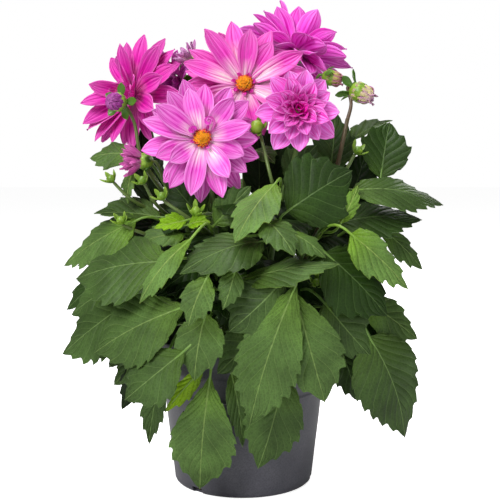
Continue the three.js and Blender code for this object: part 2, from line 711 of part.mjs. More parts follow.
const shoots = {
  shoot_front_left: {
    stem: { foot: [-16, -18], radius: 3.2, route: [[-19, -24, 170], [-23, -30, 225], [-29, -38, 256]] },
    head: "front",
    leaves: [
      leaf(128, [-23, -88, 101], [-31, -82, 18], 46, 6, [-0.1, -1, 0.1], 5, -0.1, 0.3),
      leaf(150, [-25, -108, 150], [-33, -106, 103], 32, 5, [-0.1, -1, 0.3], 3),
      leaf(170, [-23, -118, 177], [-36, -120, 144], 23, 4, [-0.2, -1, 0.3], 3),
      leaf(188, [12, -90, 197], [-39, -114, 180], 36, 4, [-0.2, -0.6, 0.78], 8),
      leaf(194, [-35, -108, 201], [-71, -100, 156], 20, 4, [-0.5, -0.75, 0.5], 4, -0.2),
      leaf(145, [-40, -102, 154], [-104, -78, 119], 45, 6, [-0.4, -0.85, 0.4], 4),
      leaf(132, [-38, -92, 121], [-79, -84, 87], 34, 5, [-0.3, -0.9, 0.3], 3, -0.1, 0.25),
      leaf(122, [-33, -78, 108], [-55, -76, 72], 13, 3, [-0.3, -0.9, 0.3], 2, 0.2, 0.3),
      leaf(212, [-40, -78, 212], [-62, -84, 207], 10, 3, [-0.1, -0.7, 0.7], 2, 0.2),
      leaf(204, [-20, -62, 208], [6, -66, 236], 24, 4, [0.1, -0.95, 0.3], 2, 0),
      leaf(178, [-6, -40, 196], [-8, -36, 229], 24, 3, [0, -0.95, 0.3], 3, 0, -0.1),
      leaf(160, [-22, -10, 176], [-29, -8, 222], 25, 3, [0, -1, 0.1], 2, 0, 0),
    ],
    buds: [
      { centre: [-33, -80, 219], axis: [0.1, -0.6, 0.8], radius: 3.4, at: 196, via: [[-34, -60, 206]] },
      { centre: [-58, -70, 229], axis: [-0.4, -0.5, 0.8], radius: 3, at: 196, via: [[-40, -68, 214]] },
    ],
  },
  shoot_front_right: {
    stem: { foot: [14, -20], radius: 3.2, route: [[20, -28, 170], [30, -33, 230], [40, -34, 262]] },
    head: "double",
    leaves: [
      leaf(152, [29, -106, 158], [4, -100, 72], 42, 6, [-0.3, -1, 0.2], 6),
      leaf(143, [42, -112, 158], [62, -106, 94], 32, 5, [0.45, -1, 0.2], 5, -0.1),
      leaf(161, [26, -120, 168], [-5, -117, 136], 27, 4, [-0.2, -1, 0.4], 4, -0.1),
      leaf(166, [1, -98, 172], [62, -108, 183], 28, 5, [0, -0.45, 0.9], 5, -0.15),
      leaf(216, [23, -82, 238], [-5, -112, 199], 34, 5, [-0.45, -0.7, 0.55], 5),
      leaf(198, [16, -100, 214], [35, -122, 191], 25, 4, [0.2, -0.75, 0.65], 4),
      leaf(190, [33, -95, 205], [57, -104, 188], 20, 4, [0.4, -0.7, 0.7], 3, -0.2),
      leaf(176, [-5, -112, 180], [-13, -116, 154], 17, 3, [0, -0.95, 0.3], 2),
      leaf(132, [30, -88, 104], [11, -82, 33], 38, 5, [-0.1, -1, 0.1], 4, -0.1, 0.3),
      leaf(128, [2, -82, 104], [5, -74, 46], 14, 3, [0.2, -1, 0.1], 3, 0.3, 0.35),
      leaf(124, [8, -80, 128], [-16, -84, 105], 26, 3, [0, -0.95, 0.3], 2),
      leaf(134, [22, -14, 158], [14, -16, 204], 40, 3, [0, -1, 0.2], 3, 0, 0),
    ],
    buds: [
      { centre: [10, -50, 279], axis: [-0.3, -0.85, 0.4], radius: 5, at: 222, via: [[21, -58, 240]] },
    ],
  },
  shoot_left: {
    stem: { foot: [-22, 2], radius: 3.2, route: [[-34, 0, 170], [-60, 2, 235], [-74, 8, 280]] },
    head: "left",
    leaves: [
      leaf(160, [-53, -88, 184], [-122, -60, 168], 50, 6, [-0.2, -0.7, 0.7], 5),
      leaf(180, [-79, -50, 205], [-137, -26, 174], 34, 5, [-0.4, -0.4, 0.85], 5),
      leaf(140, [-100, -40, 158], [-130, -26, 139], 22, 4, [-0.5, -0.6, 0.6], 3),
      leaf(136, [-83, -66, 150], [-136, -44, 109], 33, 5, [-0.5, -0.7, 0.6], 4),
      leaf(130, [-68, -64, 120], [-93, -55, 95], 20, 4, [-0.4, -0.8, 0.4], 2, -0.1, 0.3),
      leaf(122, [-74, -48, 108], [-92, -46, 70], 14, 3, [-0.4, -0.9, 0.2], 2, 0.1, 0.4),
      leaf(119, [-60, -70, 100], [-71, -66, 46], 15, 3, [-0.3, -1, 0.1], 2, 0.1, 0.5),
      leaf(196, [-62, -38, 212], [-112, -24, 221], 20, 4, [0, -0.2, 1], 3, 0.25),
      leaf(226, [-84, -30, 258], [-117, -20, 255], 20, 4, [0, -0.45, 0.9], 3),
      leaf(204, [-82, -34, 248], [-86, -38, 222], 11, 3, [-0.5, -0.85, 0.2], 2, 0.1),
      leaf(190, [-44, -50, 200], [-76, -62, 194], 24, 4, [-0.2, -0.7, 0.7], 3, 0),
      leaf(176, [-46, 10, 190], [-58, 14, 232], 34, 3, [-0.1, -0.95, 0.2], 3, 0, 0),
    ],
    buds: [
      {
        centre: [-97, -40, 297], axis: [-0.6, -0.75, -0.15], radius: 7, tip: "bud_left_tip",
        at: 214, via: [[-76, -32, 255]], bracts: { length: 9, width: 5.5, tilt: -15 },
      },
      {
        centre: [-73, -42, 254], axis: [-0.97, -0.2, 0.1], radius: 6, tip: "bud_low_left_tip",
        at: 206, via: [[-60, -30, 240]], open: OPEN_TIP,
      },
      { centre: [-98, -44, 241], axis: [-0.5, -0.4, 0.7], radius: 3.2, at: 204, via: [[-84, -40, 226]] },
      { centre: [-89, -58, 211], axis: [-0.3, -0.5, 0.8], radius: 3.2, at: 186, via: [[-72, -48, 200]] },
    ],
  },
  shoot_right: {
    stem: {
      foot: [26, -4],
      radius: 3,
      route: [[44, -12, 170], [66, -24, 222], [71, -25, 251], [77, -16, 284]],
    },
    leaves: [
      leaf(188, [34, -72, 224], [77, -62, 248], 44, 5, [-0.3, -0.8, 0.5], 4, -0.05),
      leaf(226, [67, -32, 246], [72, -14, 293], 31, 5, [-0.1, -0.95, 0.35], 3, -0.05),
      leaf(236, [86, 0, 274], [118, 8, 286], 22, 4, [0, -0.25, 0.97], 2, 0.15),
      leaf(220, [104, -30, 241], [114, -4, 284], 38, 5, [0.15, -0.85, 0.5], 3, 0.1),
      leaf(206, [80, -60, 233], [148, -38, 221], 34, 5, [0.1, -0.55, 0.83], 6),
      leaf(190, [70, -54, 207], [131, -40, 211], 30, 5, [0, -0.6, 0.8], 4),
      leaf(180, [76, -86, 200], [118, -78, 162], 30, 5, [0.5, -0.75, 0.5], 4),
      leaf(170, [104, -40, 203], [136, -34, 172], 26, 4, [0.5, -0.7, 0.5], 3),
      leaf(160, [58, -88, 190], [101, -80, 148], 44, 5, [0.35, -0.8, 0.5], 3),
      leaf(148, [94, -56, 150], [128, -46, 116], 26, 4, [0.5, -0.75, 0.45], 3),
      leaf(132, [86, -76, 126], [122, -62, 51], 43, 6, [0.5, -0.85, 0.2], 5, -0.1, 0.2),
      leaf(140, [58, -82, 150], [74, -78, 106], 34, 4, [0.2, -0.95, 0.3], 3),
      leaf(122, [74, -60, 114], [86, -54, 78], 18, 3, [0.4, -0.9, 0.2], 2, -0.1, 0.3),
      leaf(128, [46, -10, 148], [72, -14, 120], 38, 3, [0.1, -0.95, 0.3], 3, 0, 0.1),
      leaf(156, [48, 0, 172], [74, 4, 216], 44, 3, [0, -0.95, 0.3], 3, 0, 0),
    ],
    buds: [
      {
        centre: [92, -12, 307], axis: [0.72, -0.35, -0.5], radius: 8.3, tip: "bud_right_tip",
        at: 283, via: [[80, -12, 300]], bracts: { length: 9, width: 5, tilt: -15 },
      },
      { centre: [90, -20, 264], axis: [0.5, -0.4, 0.75], radius: 3, at: 232, via: [[80, -24, 250]] },
      { centre: [53, -78, 168], axis: [0.2, -0.8, 0.5], radius: 3, at: 150, via: [[48, -50, 162]] },
    ],
  },
  shoot_middle: {
    stem: { foot: [2, -4], radius: 3.2, route: [[2, -6, 190], [1, -4, 250], [1, 2, 290]] },
    head: "middle",
    leaves: [
      leaf(222, [34, -26, 238], [56, -22, 266], 30, 4, [0.1, -0.95, 0.35], 3, 0),
      leaf(200, [-26, -20, 222], [-18, -10, 260], 34, 4, [-0.1, -0.9, 0.4], 3, 0),
      leaf(250, [8, -22, 262], [24, -34, 252], 22, 3, [0.3, -0.7, 0.7], 3, 0),
    ],
  },
};

// Foliage on the side away from the viewer grows by rule: level over level, two leaves and then one
const BACK_LEVELS = [
  { z: 138, spread: [-15, 15], base: 62, tip: 114, drop: 48, width: 36 },
  { z: 168, spread: [0], base: 62, tip: 128, drop: 40, width: 48 },
  { z: 198, spread: [-15, 15], base: 62, tip: 124, drop: 32, width: 40 },
  { z: 236, spread: [0], base: 42, tip: 104, drop: 8, width: 44 },
];

function backLeaves(towards) {
  const leaves = [];
  for (const [index, level] of BACK_LEVELS.entries()) {
    for (const offset of level.spread) {
      const play = draw(towards + 10 * index + offset) - 0.5;
      const heading = degrees(towards + offset + 4 * play);
      const reach = level.tip * (1 + 0.1 * play);
      const at = (distance, z) => [distance * Math.cos(heading), distance * Math.sin(heading), z];
      const face = [0.6 * Math.cos(heading), 0.6 * Math.sin(heading), 0.8];
      const lift = 8 * Math.sign(offset);
      const base = at(level.base, level.z + lift);
      const tip = at(reach, level.z + lift - level.drop);
      leaves.push(leaf(level.z - 16 + 0.8 * lift, base, tip, level.width, 3, face, 7));
    }
  }
  return leaves;
}

shoots.shoot_back_left = {
  stem: { foot: [-14, 18], radius: 3, route: [[-24, 24, 190], [-38, 30, 260], [-38, 30, 296]] },
  head: "small",
  leaves: backLeaves(150),
  buds: [
    {
      centre: [-40, 8, 338], axis: [-0.75, -0.2, 0.62], radius: 6.5, tip: "bud_top_left_tip",
      at: 270, via: [[-28, 22, 314]], open: OPEN_TIP,
    },
  ],
};
shoots.shoot_back_right = {
  stem: { foot: [18, 14], radius: 3, route: [[26, 20, 190], [38, 26, 260], [46, 25, 308]] },
  head: "top_right",
  leaves: backLeaves(30),
  buds: [
    {
      centre: [70, -10, 316], axis: [0.95, -0.15, -0.25], radius: 6, tip: "bud_top_right_tip",
      at: 272, via: [[52, 8, 300]],
    },
  ],
};
shoots.shoot_back = {
  stem: { foot: [0, 24], radius: 3, route: [[0, 32, 190], [0, 36, 235]] },
  leaves: backLeaves(90),
};

function shootStem(shoot) {
  const ends = shoot.head ? headStalk(heads[shoot.head], 8) : [];
  return { ...shoot.stem, route: [...shoot.stem.route, ...ends] };
}

function shootSolids(shoot) {
  const stem = shootStem(shoot);
  const curve = stemCurve(stem);
  const segments = Math.round(curve.getLength() / STEM_STEP);
  const solids = [rod(curve, stem.radius, STEM_TOP_RADIUS, segments, STEM_SIDES)];
  if (shoot.head) {
    solids.push(calyxSolid(heads[shoot.head]));
  }
  for (const one of shoot.leaves) {
    solids.push(leafSolid(stem, one));
  }
  for (const bud of shoot.buds ?? []) {
    solids.push(budSolid(bud), budStalk(stem, bud));
  }
  return solids;
}

const materials = {
  pot: new THREE.MeshStandardMaterial({ color: "#4b4a52", roughness: 0.5 }),
  soil: new THREE.MeshStandardMaterial({ color: "#3a2a20", roughness: 0.95 }),
  foliage: new THREE.MeshStandardMaterial({ color: "#45652f", roughness: 0.55 }),
  petals: new THREE.MeshStandardMaterial({ color: "#dc62c4", roughness: 0.6 }),
  disc: new THREE.MeshStandardMaterial({ color: "#f59a0c", roughness: 0.7 }),
};

const root = new THREE.Group();

function place(name, body, material) {
  const { numProp, vertProperties, triVerts } = body.getMesh();
  const geometry = new THREE.BufferGeometry();
  geometry.setAttribute("position", new THREE.BufferAttribute(new Float32Array(vertProperties), numProp));
  geometry.setIndex(new THREE.BufferAttribute(new Uint32Array(triVerts), 1));
  geometry.computeVertexNormals();
  const mesh = new THREE.Mesh(geometry, material);
  mesh.name = name;
  root.add(mesh);
}

place("pot", pot(), materials.pot);
place("soil", soil(Object.values(shoots).map((shoot) => shoot.stem)), materials.soil);
for (const [name, shoot] of Object.entries(shoots)) {
  place(name, joined(shootSolids(shoot)), materials.foliage);
  for (const bud of shoot.buds ?? []) {
    if (bud.tip) place(bud.tip, budTip(bud), materials.petals);
  }
}
for (const [name, head] of Object.entries(heads)) {
  place("bloom_" + name, petalNode(head), materials.petals);
}
for (const name of ["front", "middle", "top_right", "left"]) {
  place("disc_" + name, discNode(heads[name]), materials.disc);
}

export default root;
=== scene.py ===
# %% [markdown]
# # A potted dahlia
# This lesson dresses a bedding dahlia in a plain nursery pot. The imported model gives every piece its
# place and size: the pot, the soil, eight leafy shoots, six blooms and five coloured bud tips. Each cell
# makes one kind of piece or one finish, first as a shape worked out from a few measures, then as a
# material.

# %% Load the frame
import math

import bmesh
import bpy
import numpy as np
from mathutils import Matrix, Vector


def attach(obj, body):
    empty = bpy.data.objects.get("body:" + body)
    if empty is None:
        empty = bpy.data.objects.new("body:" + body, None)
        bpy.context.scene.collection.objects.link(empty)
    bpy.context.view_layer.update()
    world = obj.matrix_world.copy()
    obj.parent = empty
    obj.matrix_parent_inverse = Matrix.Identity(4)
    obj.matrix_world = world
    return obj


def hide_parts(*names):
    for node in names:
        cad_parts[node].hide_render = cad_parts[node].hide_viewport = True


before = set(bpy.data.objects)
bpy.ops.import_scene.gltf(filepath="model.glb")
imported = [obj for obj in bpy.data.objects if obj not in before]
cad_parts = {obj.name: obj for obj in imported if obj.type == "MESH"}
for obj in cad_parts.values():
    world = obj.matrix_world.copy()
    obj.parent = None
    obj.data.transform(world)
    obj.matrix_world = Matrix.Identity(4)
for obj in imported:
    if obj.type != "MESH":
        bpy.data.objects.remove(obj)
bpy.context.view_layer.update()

# %% [markdown]
# ## Camera
# The picture was taken from the front, a little above the middle of the plant and tilted down by about
# five degrees. A lens of 68 mm on a 36 mm sensor, 75 cm away, gives the pot's rim and foot their right
# curves.

# %% Camera
MM = 0.001
CAMERA_PLACE_MM = (5.3, -750, 253)
CAMERA_TILT = 0.092


def place_object(name, data):
    placed = bpy.data.objects.new(name, data)
    bpy.context.scene.collection.objects.link(placed)
    return placed


camera_data = bpy.data.cameras.new("camera")
camera_data.sensor_width = 36
camera_data.lens = 68.4
camera = place_object("camera", camera_data)
camera.location = [MM * c for c in CAMERA_PLACE_MM]
camera.rotation_euler = (math.radians(90) - CAMERA_TILT, 0, 0)
bpy.context.scene.camera = camera
print("camera looks down", round(math.degrees(CAMERA_TILT), 1), "degrees")

# %% [markdown]
# ## Helpers for nodes
# Colours are picked as sRGB hex values, as a colour picker shows them, and turned to linear light. `add`
# makes a node, a shader's one where the kind doesn't say Node. `feed` sets or joins its inputs, by name
# or in their order, and `new_material` starts a material. It brings Object coordinates and the values
# kept on the piece's own points. A pattern's Scale is one over its size in metres, so 1000 repeats about
# every millimetre. `layered` lays colours over one another, each by its share.

# %% Colour and node helpers
def linear(code):
    parts = [int(code[i : i + 2], 16) / 255 for i in (1, 3, 5)]
    return [p / 12.92 if p <= 0.04045 else ((p + 0.055) / 1.055) ** 2.4 for p in parts] + [1.0]


def feed(node, inputs):
    for key, value in inputs.items() if isinstance(inputs, dict) else enumerate(inputs):
        if isinstance(value, bpy.types.Node):
            value = next(socket for socket in value.outputs if socket.enabled)
        if isinstance(value, bpy.types.NodeSocket):
            node.id_data.links.new(value, node.inputs[key])
        else:
            is_colour = isinstance(value, str) and value.startswith("#")
            node.inputs[key].default_value = linear(value) if is_colour else value


def add(tree, kind, inputs=(), stops=(), **settings):
    node = tree.nodes.new(kind if "Node" in kind else "ShaderNode" + kind)
    for key, value in settings.items():
        setattr(node, key, value)
    for number, (position, code) in enumerate(stops):
        elements = node.color_ramp.elements
        stop = elements[number] if number < 2 else elements.new(position)
        stop.position = position
        stop.color = linear(code)
    feed(node, inputs)
    return node


def new_material(name, *value_names):
    material = bpy.data.materials.new(name)
    material.use_nodes = True
    tree = material.node_tree
    place = add(tree, "TexCoord").outputs["Object"]
    values = [add(tree, "Attribute", attribute_name=key).outputs["Fac"] for key in value_names]
    return material, tree, tree.nodes["Principled BSDF"], place, *values


def layered(tree, colour, *coats):
    for share, coat in coats:
        colour = add(tree, "Mix", {0: share, 6: colour, 7: coat}, data_type="RGBA")
    return colour


print("leaf green in linear light:", [round(c, 3) for c in linear("#4a6b3a")])

# %% [markdown]
# ## Studio
# The light is soft and comes from the front, mostly from the upper left, with a white floor and
# background that throw light back into the foliage. Large area lights give the gentle shading between
# the leaves.

# %% Studio light and floor
world = bpy.data.worlds.new("studio")
world.use_nodes = True
tree = world.node_tree
backdrop = tree.nodes["Background"]
feed(backdrop, {"Color": "#ffffff", "Strength": 1.0})
bounced = add(tree, "Background", {"Color": "#ffffff", "Strength": 0.13})
seen = add(tree, "LightPath").outputs["Is Camera Ray"]
feed(tree.nodes["World Output"], {"Surface": add(tree, "MixShader", (seen, bounced, backdrop))})
bpy.context.scene.world = world
bpy.context.scene.view_settings.view_transform = "Standard"

AIM = Vector((0, 0, 0.2))
LIGHTS = {
    "key": ((-0.75, -1.2, 1.3), 0.9, 31),
    "fill": ((1.1, -1.1, 0.6), 0.9, 4),
    "top": ((-0.1, 0.2, 1.6), 0.6, 13),
    "back": ((0.5, 1.6, 0.9), 0.9, 9),
}
for name, (place, size, power) in LIGHTS.items():
    data = bpy.data.lights.new(name, "AREA")
    data.size = size
    data.energy = power
    lamp = place_object(name, data)
    lamp.location = place
    lamp.rotation_euler = (AIM - Vector(place)).to_track_quat("-Z", "Y").to_euler()

FAR = 9
floor_mesh = bpy.data.meshes.new("floor")
floor_mesh.from_pydata([(-FAR, -FAR, 0), (FAR, -FAR, 0), (FAR, FAR, 0), (-FAR, FAR, 0)], [], [(0, 1, 2, 3)])
floor = place_object("floor", floor_mesh)
paper, tree, shader, place = new_material("white_paper_floor")
seen = add(tree, "LightPath").outputs["Is Camera Ray"]
glow = add(tree, "Math", (seen, 0.85), operation="MULTIPLY")
feed(shader, {
    "Base Color": "#fafafa", "Roughness": 0.9, "Emission Color": "#ffffff", "Emission Strength": glow,
})
floor_mesh.materials.append(paper)
print(len(LIGHTS), "area lights and a floor")

# %% [markdown]
# ## A builder for closed shapes
# Leaves, petals and stems are all thin closed bodies. `Shape` collects their points, faces and named
# values, such as how far along a leaf a point lies, and turns them into one mesh. The values feed the
# materials later on, so a vein or a petal's pale base stays where it grew.

# %% Shape builder
class Shape:
    def __init__(self, *value_names):
        self.points = []
        self.faces = []
        self.creases = []
        self.values = {name: [] for name in value_names}

    def add(self, points, faces, creases=(), **values):
        start = len(self.points)
        self.points.extend(points)
        self.faces.extend([tuple(start + k for k in face) for face in faces])
        self.creases.extend([(start + a, start + b) for a, b in creases])
        for name, stored in self.values.items():
            given = values.get(name, 0.0)
            stored.extend([given] * len(points) if np.isscalar(given) else given)

    def make(self, name, finish):
        mesh = bpy.data.meshes.new(name)
        mesh.from_pydata([tuple(MM * c for c in p) for p in self.points], [], self.faces)
        mesh.polygons.foreach_set("use_smooth", [True] * len(mesh.polygons))
        for value_name, stored in self.values.items():
            mesh.attributes.new(value_name, "FLOAT", "POINT").data.foreach_set("value", stored)
        if self.creases:
            sharp = {tuple(sorted(pair)) for pair in self.creases}
            flags = [tuple(sorted(edge.vertices)) in sharp for edge in mesh.edges]
            mesh.attributes.new("sharp_edge", "BOOLEAN", "EDGE").data.foreach_set("value", flags)
        mesh.materials.append(finish)
        return place_object(name, mesh)


def hand_over(piece, slot_name, *nodes):
    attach(piece, "root")
    if nodes:
        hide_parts(*nodes)
    piece.data.calc_loop_triangles()
    print(piece.name, len(piece.data.loop_triangles), "triangles")


# %% [markdown]
# A blade is a grid of points with a thickness: the same grid on its upper and lower face, half a
# thickness apart, and a narrow rim round its edge. The rim's edges are kept sharp, so the faces shade
# like flat leaves.

# %% Thin sheets from a grid
def add_sheet(shape, grid, thickness, **values):
    rows, cols = grid.shape[:2]
    along = np.gradient(grid, axis=0)
    across = np.gradient(grid, axis=1)
    normal = np.cross(along, across)
    normal /= np.linalg.norm(normal, axis=2, keepdims=True) + 1e-12
    upper = (grid + normal * thickness / 2).reshape(-1, 3)
    lower = (grid - normal * thickness / 2).reshape(-1, 3)
    count = rows * cols
    faces = []
    for i in range(rows - 1):
        for j in range(cols - 1):
            a = i * cols + j
            faces.append((a, a + cols, a + cols + 1, a + 1))
            faces.append((count + a, count + a + 1, count + a + cols + 1, count + a + cols))
    edge = [i * cols for i in range(rows)]
    edge += [(rows - 1) * cols + j for j in range(1, cols)]
    edge += [i * cols + cols - 1 for i in range(rows - 2, -1, -1)]
    edge += range(cols - 2, 0, -1)
    creases = []
    for k, a in enumerate(edge):
        b = edge[(k + 1) % len(edge)]
        faces.append((b, a, count + a, count + b))
        creases += [(a, b), (count + a, count + b)]
    doubled = {name: list(np.ravel(v)) * 2 for name, v in values.items() if not np.isscalar(v)}
    same = {name: v for name, v in values.items() if np.isscalar(v)}
    if "under" in shape.values:
        same["under"] = [0.0] * count + [1.0] * count
    shape.add(list(upper) + list(lower), faces, creases, **doubled, **same)


# %% [markdown]
# Stems and leaf stalks are round tubes along a curve. The tube's ring is carried from one point to the
# next without twisting, and each end is closed with a fan of faces.

# %% Tubes along a path
def add_tube(shape, path, radii, sides=9, **values):
    path = np.asarray(path, float)
    tangents = np.gradient(path, axis=0)
    tangents /= np.linalg.norm(tangents, axis=1, keepdims=True)
    guide = np.cross(tangents[0], (0.31, 0.95, 0.05))
    points = []
    for centre, tangent, radius in zip(path, tangents, radii):
        guide = guide - tangent * np.dot(guide, tangent)
        guide /= np.linalg.norm(guide)
        side = np.cross(tangent, guide)
        for k in range(sides):
            turn = 2 * math.pi * k / sides
            points.append(centre + radius * (math.cos(turn) * guide + math.sin(turn) * side))
    faces = []
    for i in range(len(path) - 1):
        for k in range(sides):
            a, b = i * sides + k, i * sides + (k + 1) % sides
            faces.append((a, b, b + sides, a + sides))
    last = len(points) - sides
    points += [path[0], path[-1]]
    for k in range(sides):
        b = (k + 1) % sides
        faces += [(last + sides, b, k), (last + sides + 1, last + k, last + b)]
    shape.add(points, faces, **values)


# %% [markdown]
# ## Pot
# The pot is injection-moulded polypropylene: a plain tapered wall, a fine raised line under a flared
# band, and a rim. Its outline is turned round the axis, as on a lathe, with 96 sides, and the foot slots
# and drain holes are cut with boolean modifiers, as a designer would cut them.

# %% Pot
POT_OUTLINE = [
    (0, 0), (50.8, 0), (52, 0.3), (53.4, 0.8), (54.4, 1.7), (55, 3.2), (55.1, 4.8), (58, 30), (60.6, 52),
    (62.8, 74.4), (63.5, 75.0), (63.8, 76.0), (63.5, 77.0), (63.3, 77.6), (64.6, 81.6), (67.2, 88.6),
    (69.0, 92.4), (69.8, 94.4), (70.0, 96.4), (70.2, 106), (70.3, 114.8), (70.1, 115.6), (69.6, 116),
    (69.1, 116), (68.7, 115.6), (68.6, 114.6), (68.5, 96.4), (67.6, 92.6), (61.6, 76), (57, 36),
    (53.6, 5), (52.6, 3), (50, 2), (0, 2),
]
SLOT_TURNS = (-130, -10, 110)
SLOT_CORNERS = [(50.5, -5), (59.5, -5), (59.5, 5), (50.5, 5)]
SLOT_HEIGHT = 5
DRAINS = 4
DRAIN_SIDES = 16
DRAIN_RADIUS = 4
DRAIN_FROM_AXIS = 26
FLOOR_CUT = 4
SHARP = math.radians(40)


def turned(outline, sides):
    inner = outline[1:-1]
    points = [(0, 0, outline[0][1])]
    for radius, z in inner:
        for k in range(sides):
            turn = 2 * math.pi * k / sides
            points.append((radius * math.cos(turn), radius * math.sin(turn), z))
    points.append((0, 0, outline[-1][1]))
    top = 1 + (len(inner) - 1) * sides
    faces = []
    for k in range(sides):
        b = (k + 1) % sides
        faces += [(0, 1 + b, 1 + k), (len(points) - 1, top + k, top + b)]
        for low in range(1, top, sides):
            faces.append((low + k, low + b, low + sides + b, low + sides + k))
    return points, faces


def settle(piece):
    view = bpy.context.evaluated_depsgraph_get()
    mesh = bpy.data.meshes.new_from_object(piece.evaluated_get(view))
    piece.modifiers.clear()
    piece.data = mesh


def cut(piece, ring, reach):
    n = len(ring)
    sides = [(k, (k + 1) % n, n + (k + 1) % n, n + k) for k in range(n)]
    ends = [tuple(range(n))[::-1], tuple(range(n, 2 * n))]
    solid = Shape()
    solid.add([(x, y, z) for z in (-reach, reach) for x, y in ring], sides + ends)
    cutter = solid.make("cutter", pot_plastic)
    modifier = piece.modifiers.new("cut", "BOOLEAN")
    modifier.operation = "DIFFERENCE"
    modifier.solver = "EXACT"
    modifier.object = cutter
    settle(piece)
    bpy.data.objects.remove(cutter)


# %% [markdown]
# The plastic is a satin dark grey. Two noises multiplied give it a faint bloom of dust, and a third, too
# fine to see as a pattern, is the slight orange peel that a mould leaves.

# %% Pot material
# Injection-moulded polypropylene, dark grey: a satin skin with a faint orange peel and a little dusty bloom.
pot_plastic, tree, shader, place = new_material("moulded_polypropylene_dark_grey")
cloud = add(tree, "TexNoise", {"Vector": place, "Scale": 38.0, "Detail": 4.0})
dust = add(tree, "TexNoise", {"Vector": place, "Scale": 900.0, "Detail": 2.0})
shade = add(tree, "Math", (cloud, dust), operation="MULTIPLY")
colour = add(tree, "ValToRGB", (shade,), stops=((0.12, "#3e3d46"), (0.45, "#57565f")))
peel = add(tree, "TexNoise", {"Vector": place, "Scale": 1400.0, "Detail": 1.0})
bump = add(tree, "Bump", {"Height": peel, "Strength": 0.25, "Distance": 0.0002})
feed(shader, {"Base Color": colour, "Roughness": 0.46, "IOR": 1.49, "Normal": bump})

pot_shape = Shape()
pot_shape.add(*turned(POT_OUTLINE, 96))
pot = pot_shape.make("nursery_pot", pot_plastic)
for angle in SLOT_TURNS:
    c, s = math.cos(math.radians(angle)), math.sin(math.radians(angle))
    cut(pot, [(x * c - y * s, x * s + y * c) for x, y in SLOT_CORNERS], SLOT_HEIGHT)
for number in range(DRAINS):
    angle = math.pi * (number + 0.5) / 2
    x, y = DRAIN_FROM_AXIS * math.cos(angle), DRAIN_FROM_AXIS * math.sin(angle)
    turns = [k * math.pi / 8 for k in range(DRAIN_SIDES)]
    cut(pot, [(x + DRAIN_RADIUS * math.cos(t), y + DRAIN_RADIUS * math.sin(t)) for t in turns], FLOOR_CUT)
bm = bmesh.new()
bm.from_mesh(pot.data)
flags = [edge.calc_face_angle(0) > SHARP for edge in bm.edges]
bm.free()
sharp = pot.data.attributes.get("sharp_edge") or pot.data.attributes.new("sharp_edge", "BOOLEAN", "EDGE")
sharp.data.foreach_set("value", flags)
hand_over(pot, "pot", "pot")


# %% [markdown]
# ## Curves and heads
# A stem runs through a few guide points on a smooth Catmull-Rom curve, and a leaf's stalk is a Bézier
# curve. Each flower head has its own axes: Z is the way it faces, Y is as near up as it can be.

# %% Curves and head axes
def unit(v):
    return np.asarray(v, float) / np.linalg.norm(v)


def draw(seed):
    value = math.sin(seed * 12.9898 + 4.1414) * 43758.5453
    return value - math.floor(value)


def smooth_path(points, steps=10):
    p = np.array(points, float)
    p = np.vstack([2 * p[0] - p[1], p, 2 * p[-1] - p[-2]])
    t = np.linspace(0, 1, steps, endpoint=False)[:, None]
    path = []
    for a, b, c, d in zip(p, p[1:], p[2:], p[3:]):
        ab, bc, cd = (np.linalg.norm(q) ** 0.5 for q in (b - a, c - b, d - c))
        leave = ((b - a) / ab - (c - a) / (ab + bc) + (c - b) / bc) * bc
        reach = ((c - b) / bc - (d - b) / (bc + cd) + (d - c) / cd) * bc
        squared = 3 * (c - b) - 2 * leave - reach
        cubed = 2 * (b - c) + leave + reach
        path.append(b + leave * t + squared * t**2 + cubed * t**3)
    return np.vstack(path + [p[-2:-1]])


def bezier(a, b, c, d, steps):
    t = np.linspace(0, 1, steps)[:, None]
    a, b, c, d = (np.asarray(q, float) for q in (a, b, c, d))
    return (1 - t) ** 3 * a + 3 * t * (1 - t) ** 2 * b + 3 * t**2 * (1 - t) * c + t**3 * d


def at_height(path, z):
    i = int(np.argmax(path[:, 2] >= z))
    share = (z - path[i - 1, 2]) / (path[i, 2] - path[i - 1, 2])
    return path[i - 1] + share * (path[i] - path[i - 1])


class Head:
    def __init__(self, centre, axis):
        self.centre = np.array(centre, float)
        out = unit(axis)
        right = unit(np.cross((0, 1, 0) if abs(out[2]) > 0.9 else (0, 0, 1), out))
        self.axes = np.column_stack([right, np.cross(out, right), out])

    def place(self, points):
        return np.asarray(points, float) @ self.axes.T + self.centre


print("a curve of", len(smooth_path([(0, 0, 0), (0, 0, 9), (4, 0, 20)])), "points")

# %% [markdown]
# ## Leaf finish
# A dahlia leaf is a thin blade with a waxy, blue-green upper face and a paler back. Side veins leave the
# midrib in turn and run out and forward to the teeth, and the blade bulges a little between them. The
# shader draws the veins from each point's place along and across the blade, so they follow every bend.
# Young leaves are yellower. Leaves of low age get painted shade, a darker, dimmer green for leaves deep
# in the plant.

# %% Leaf material
# Living leaf: cells under a thin wax, so a soft sheen; veins stand out pale on the upper face.
leaf_finish, tree, shader, place, side_mm, vein_mm, phase, along, age_and_painted_shade, under = new_material(
    "dahlia_leaf_waxy_green", "side_mm", "vein_mm", "phase", "along", "tone", "under"
)
rib_width = add(tree, "MapRange", (along, 0.0, 1.0, 0.9, 0.36))
midrib = add(tree, "MapRange", (side_mm, 0.0, rib_width, 1.0, 0.0))
offset = add(tree, "Math", (phase, 0.5), operation="PINGPONG")
from_vein = add(tree, "Math", (offset, vein_mm), operation="MULTIPLY")
side_vein = add(tree, "MapRange", (from_vein, 0.0, 0.42, 0.5, 0.0))
short_of_half = add(tree, "Math", (0.5, offset), operation="SUBTRACT")
from_middle = add(tree, "Math", (short_of_half, vein_mm), operation="MULTIPLY")
fine_vein = add(tree, "MapRange", (from_middle, 0.0, 0.36, 0.26, 0.0))
side_veins = add(tree, "Math", (side_vein, fine_vein), operation="MAXIMUM")
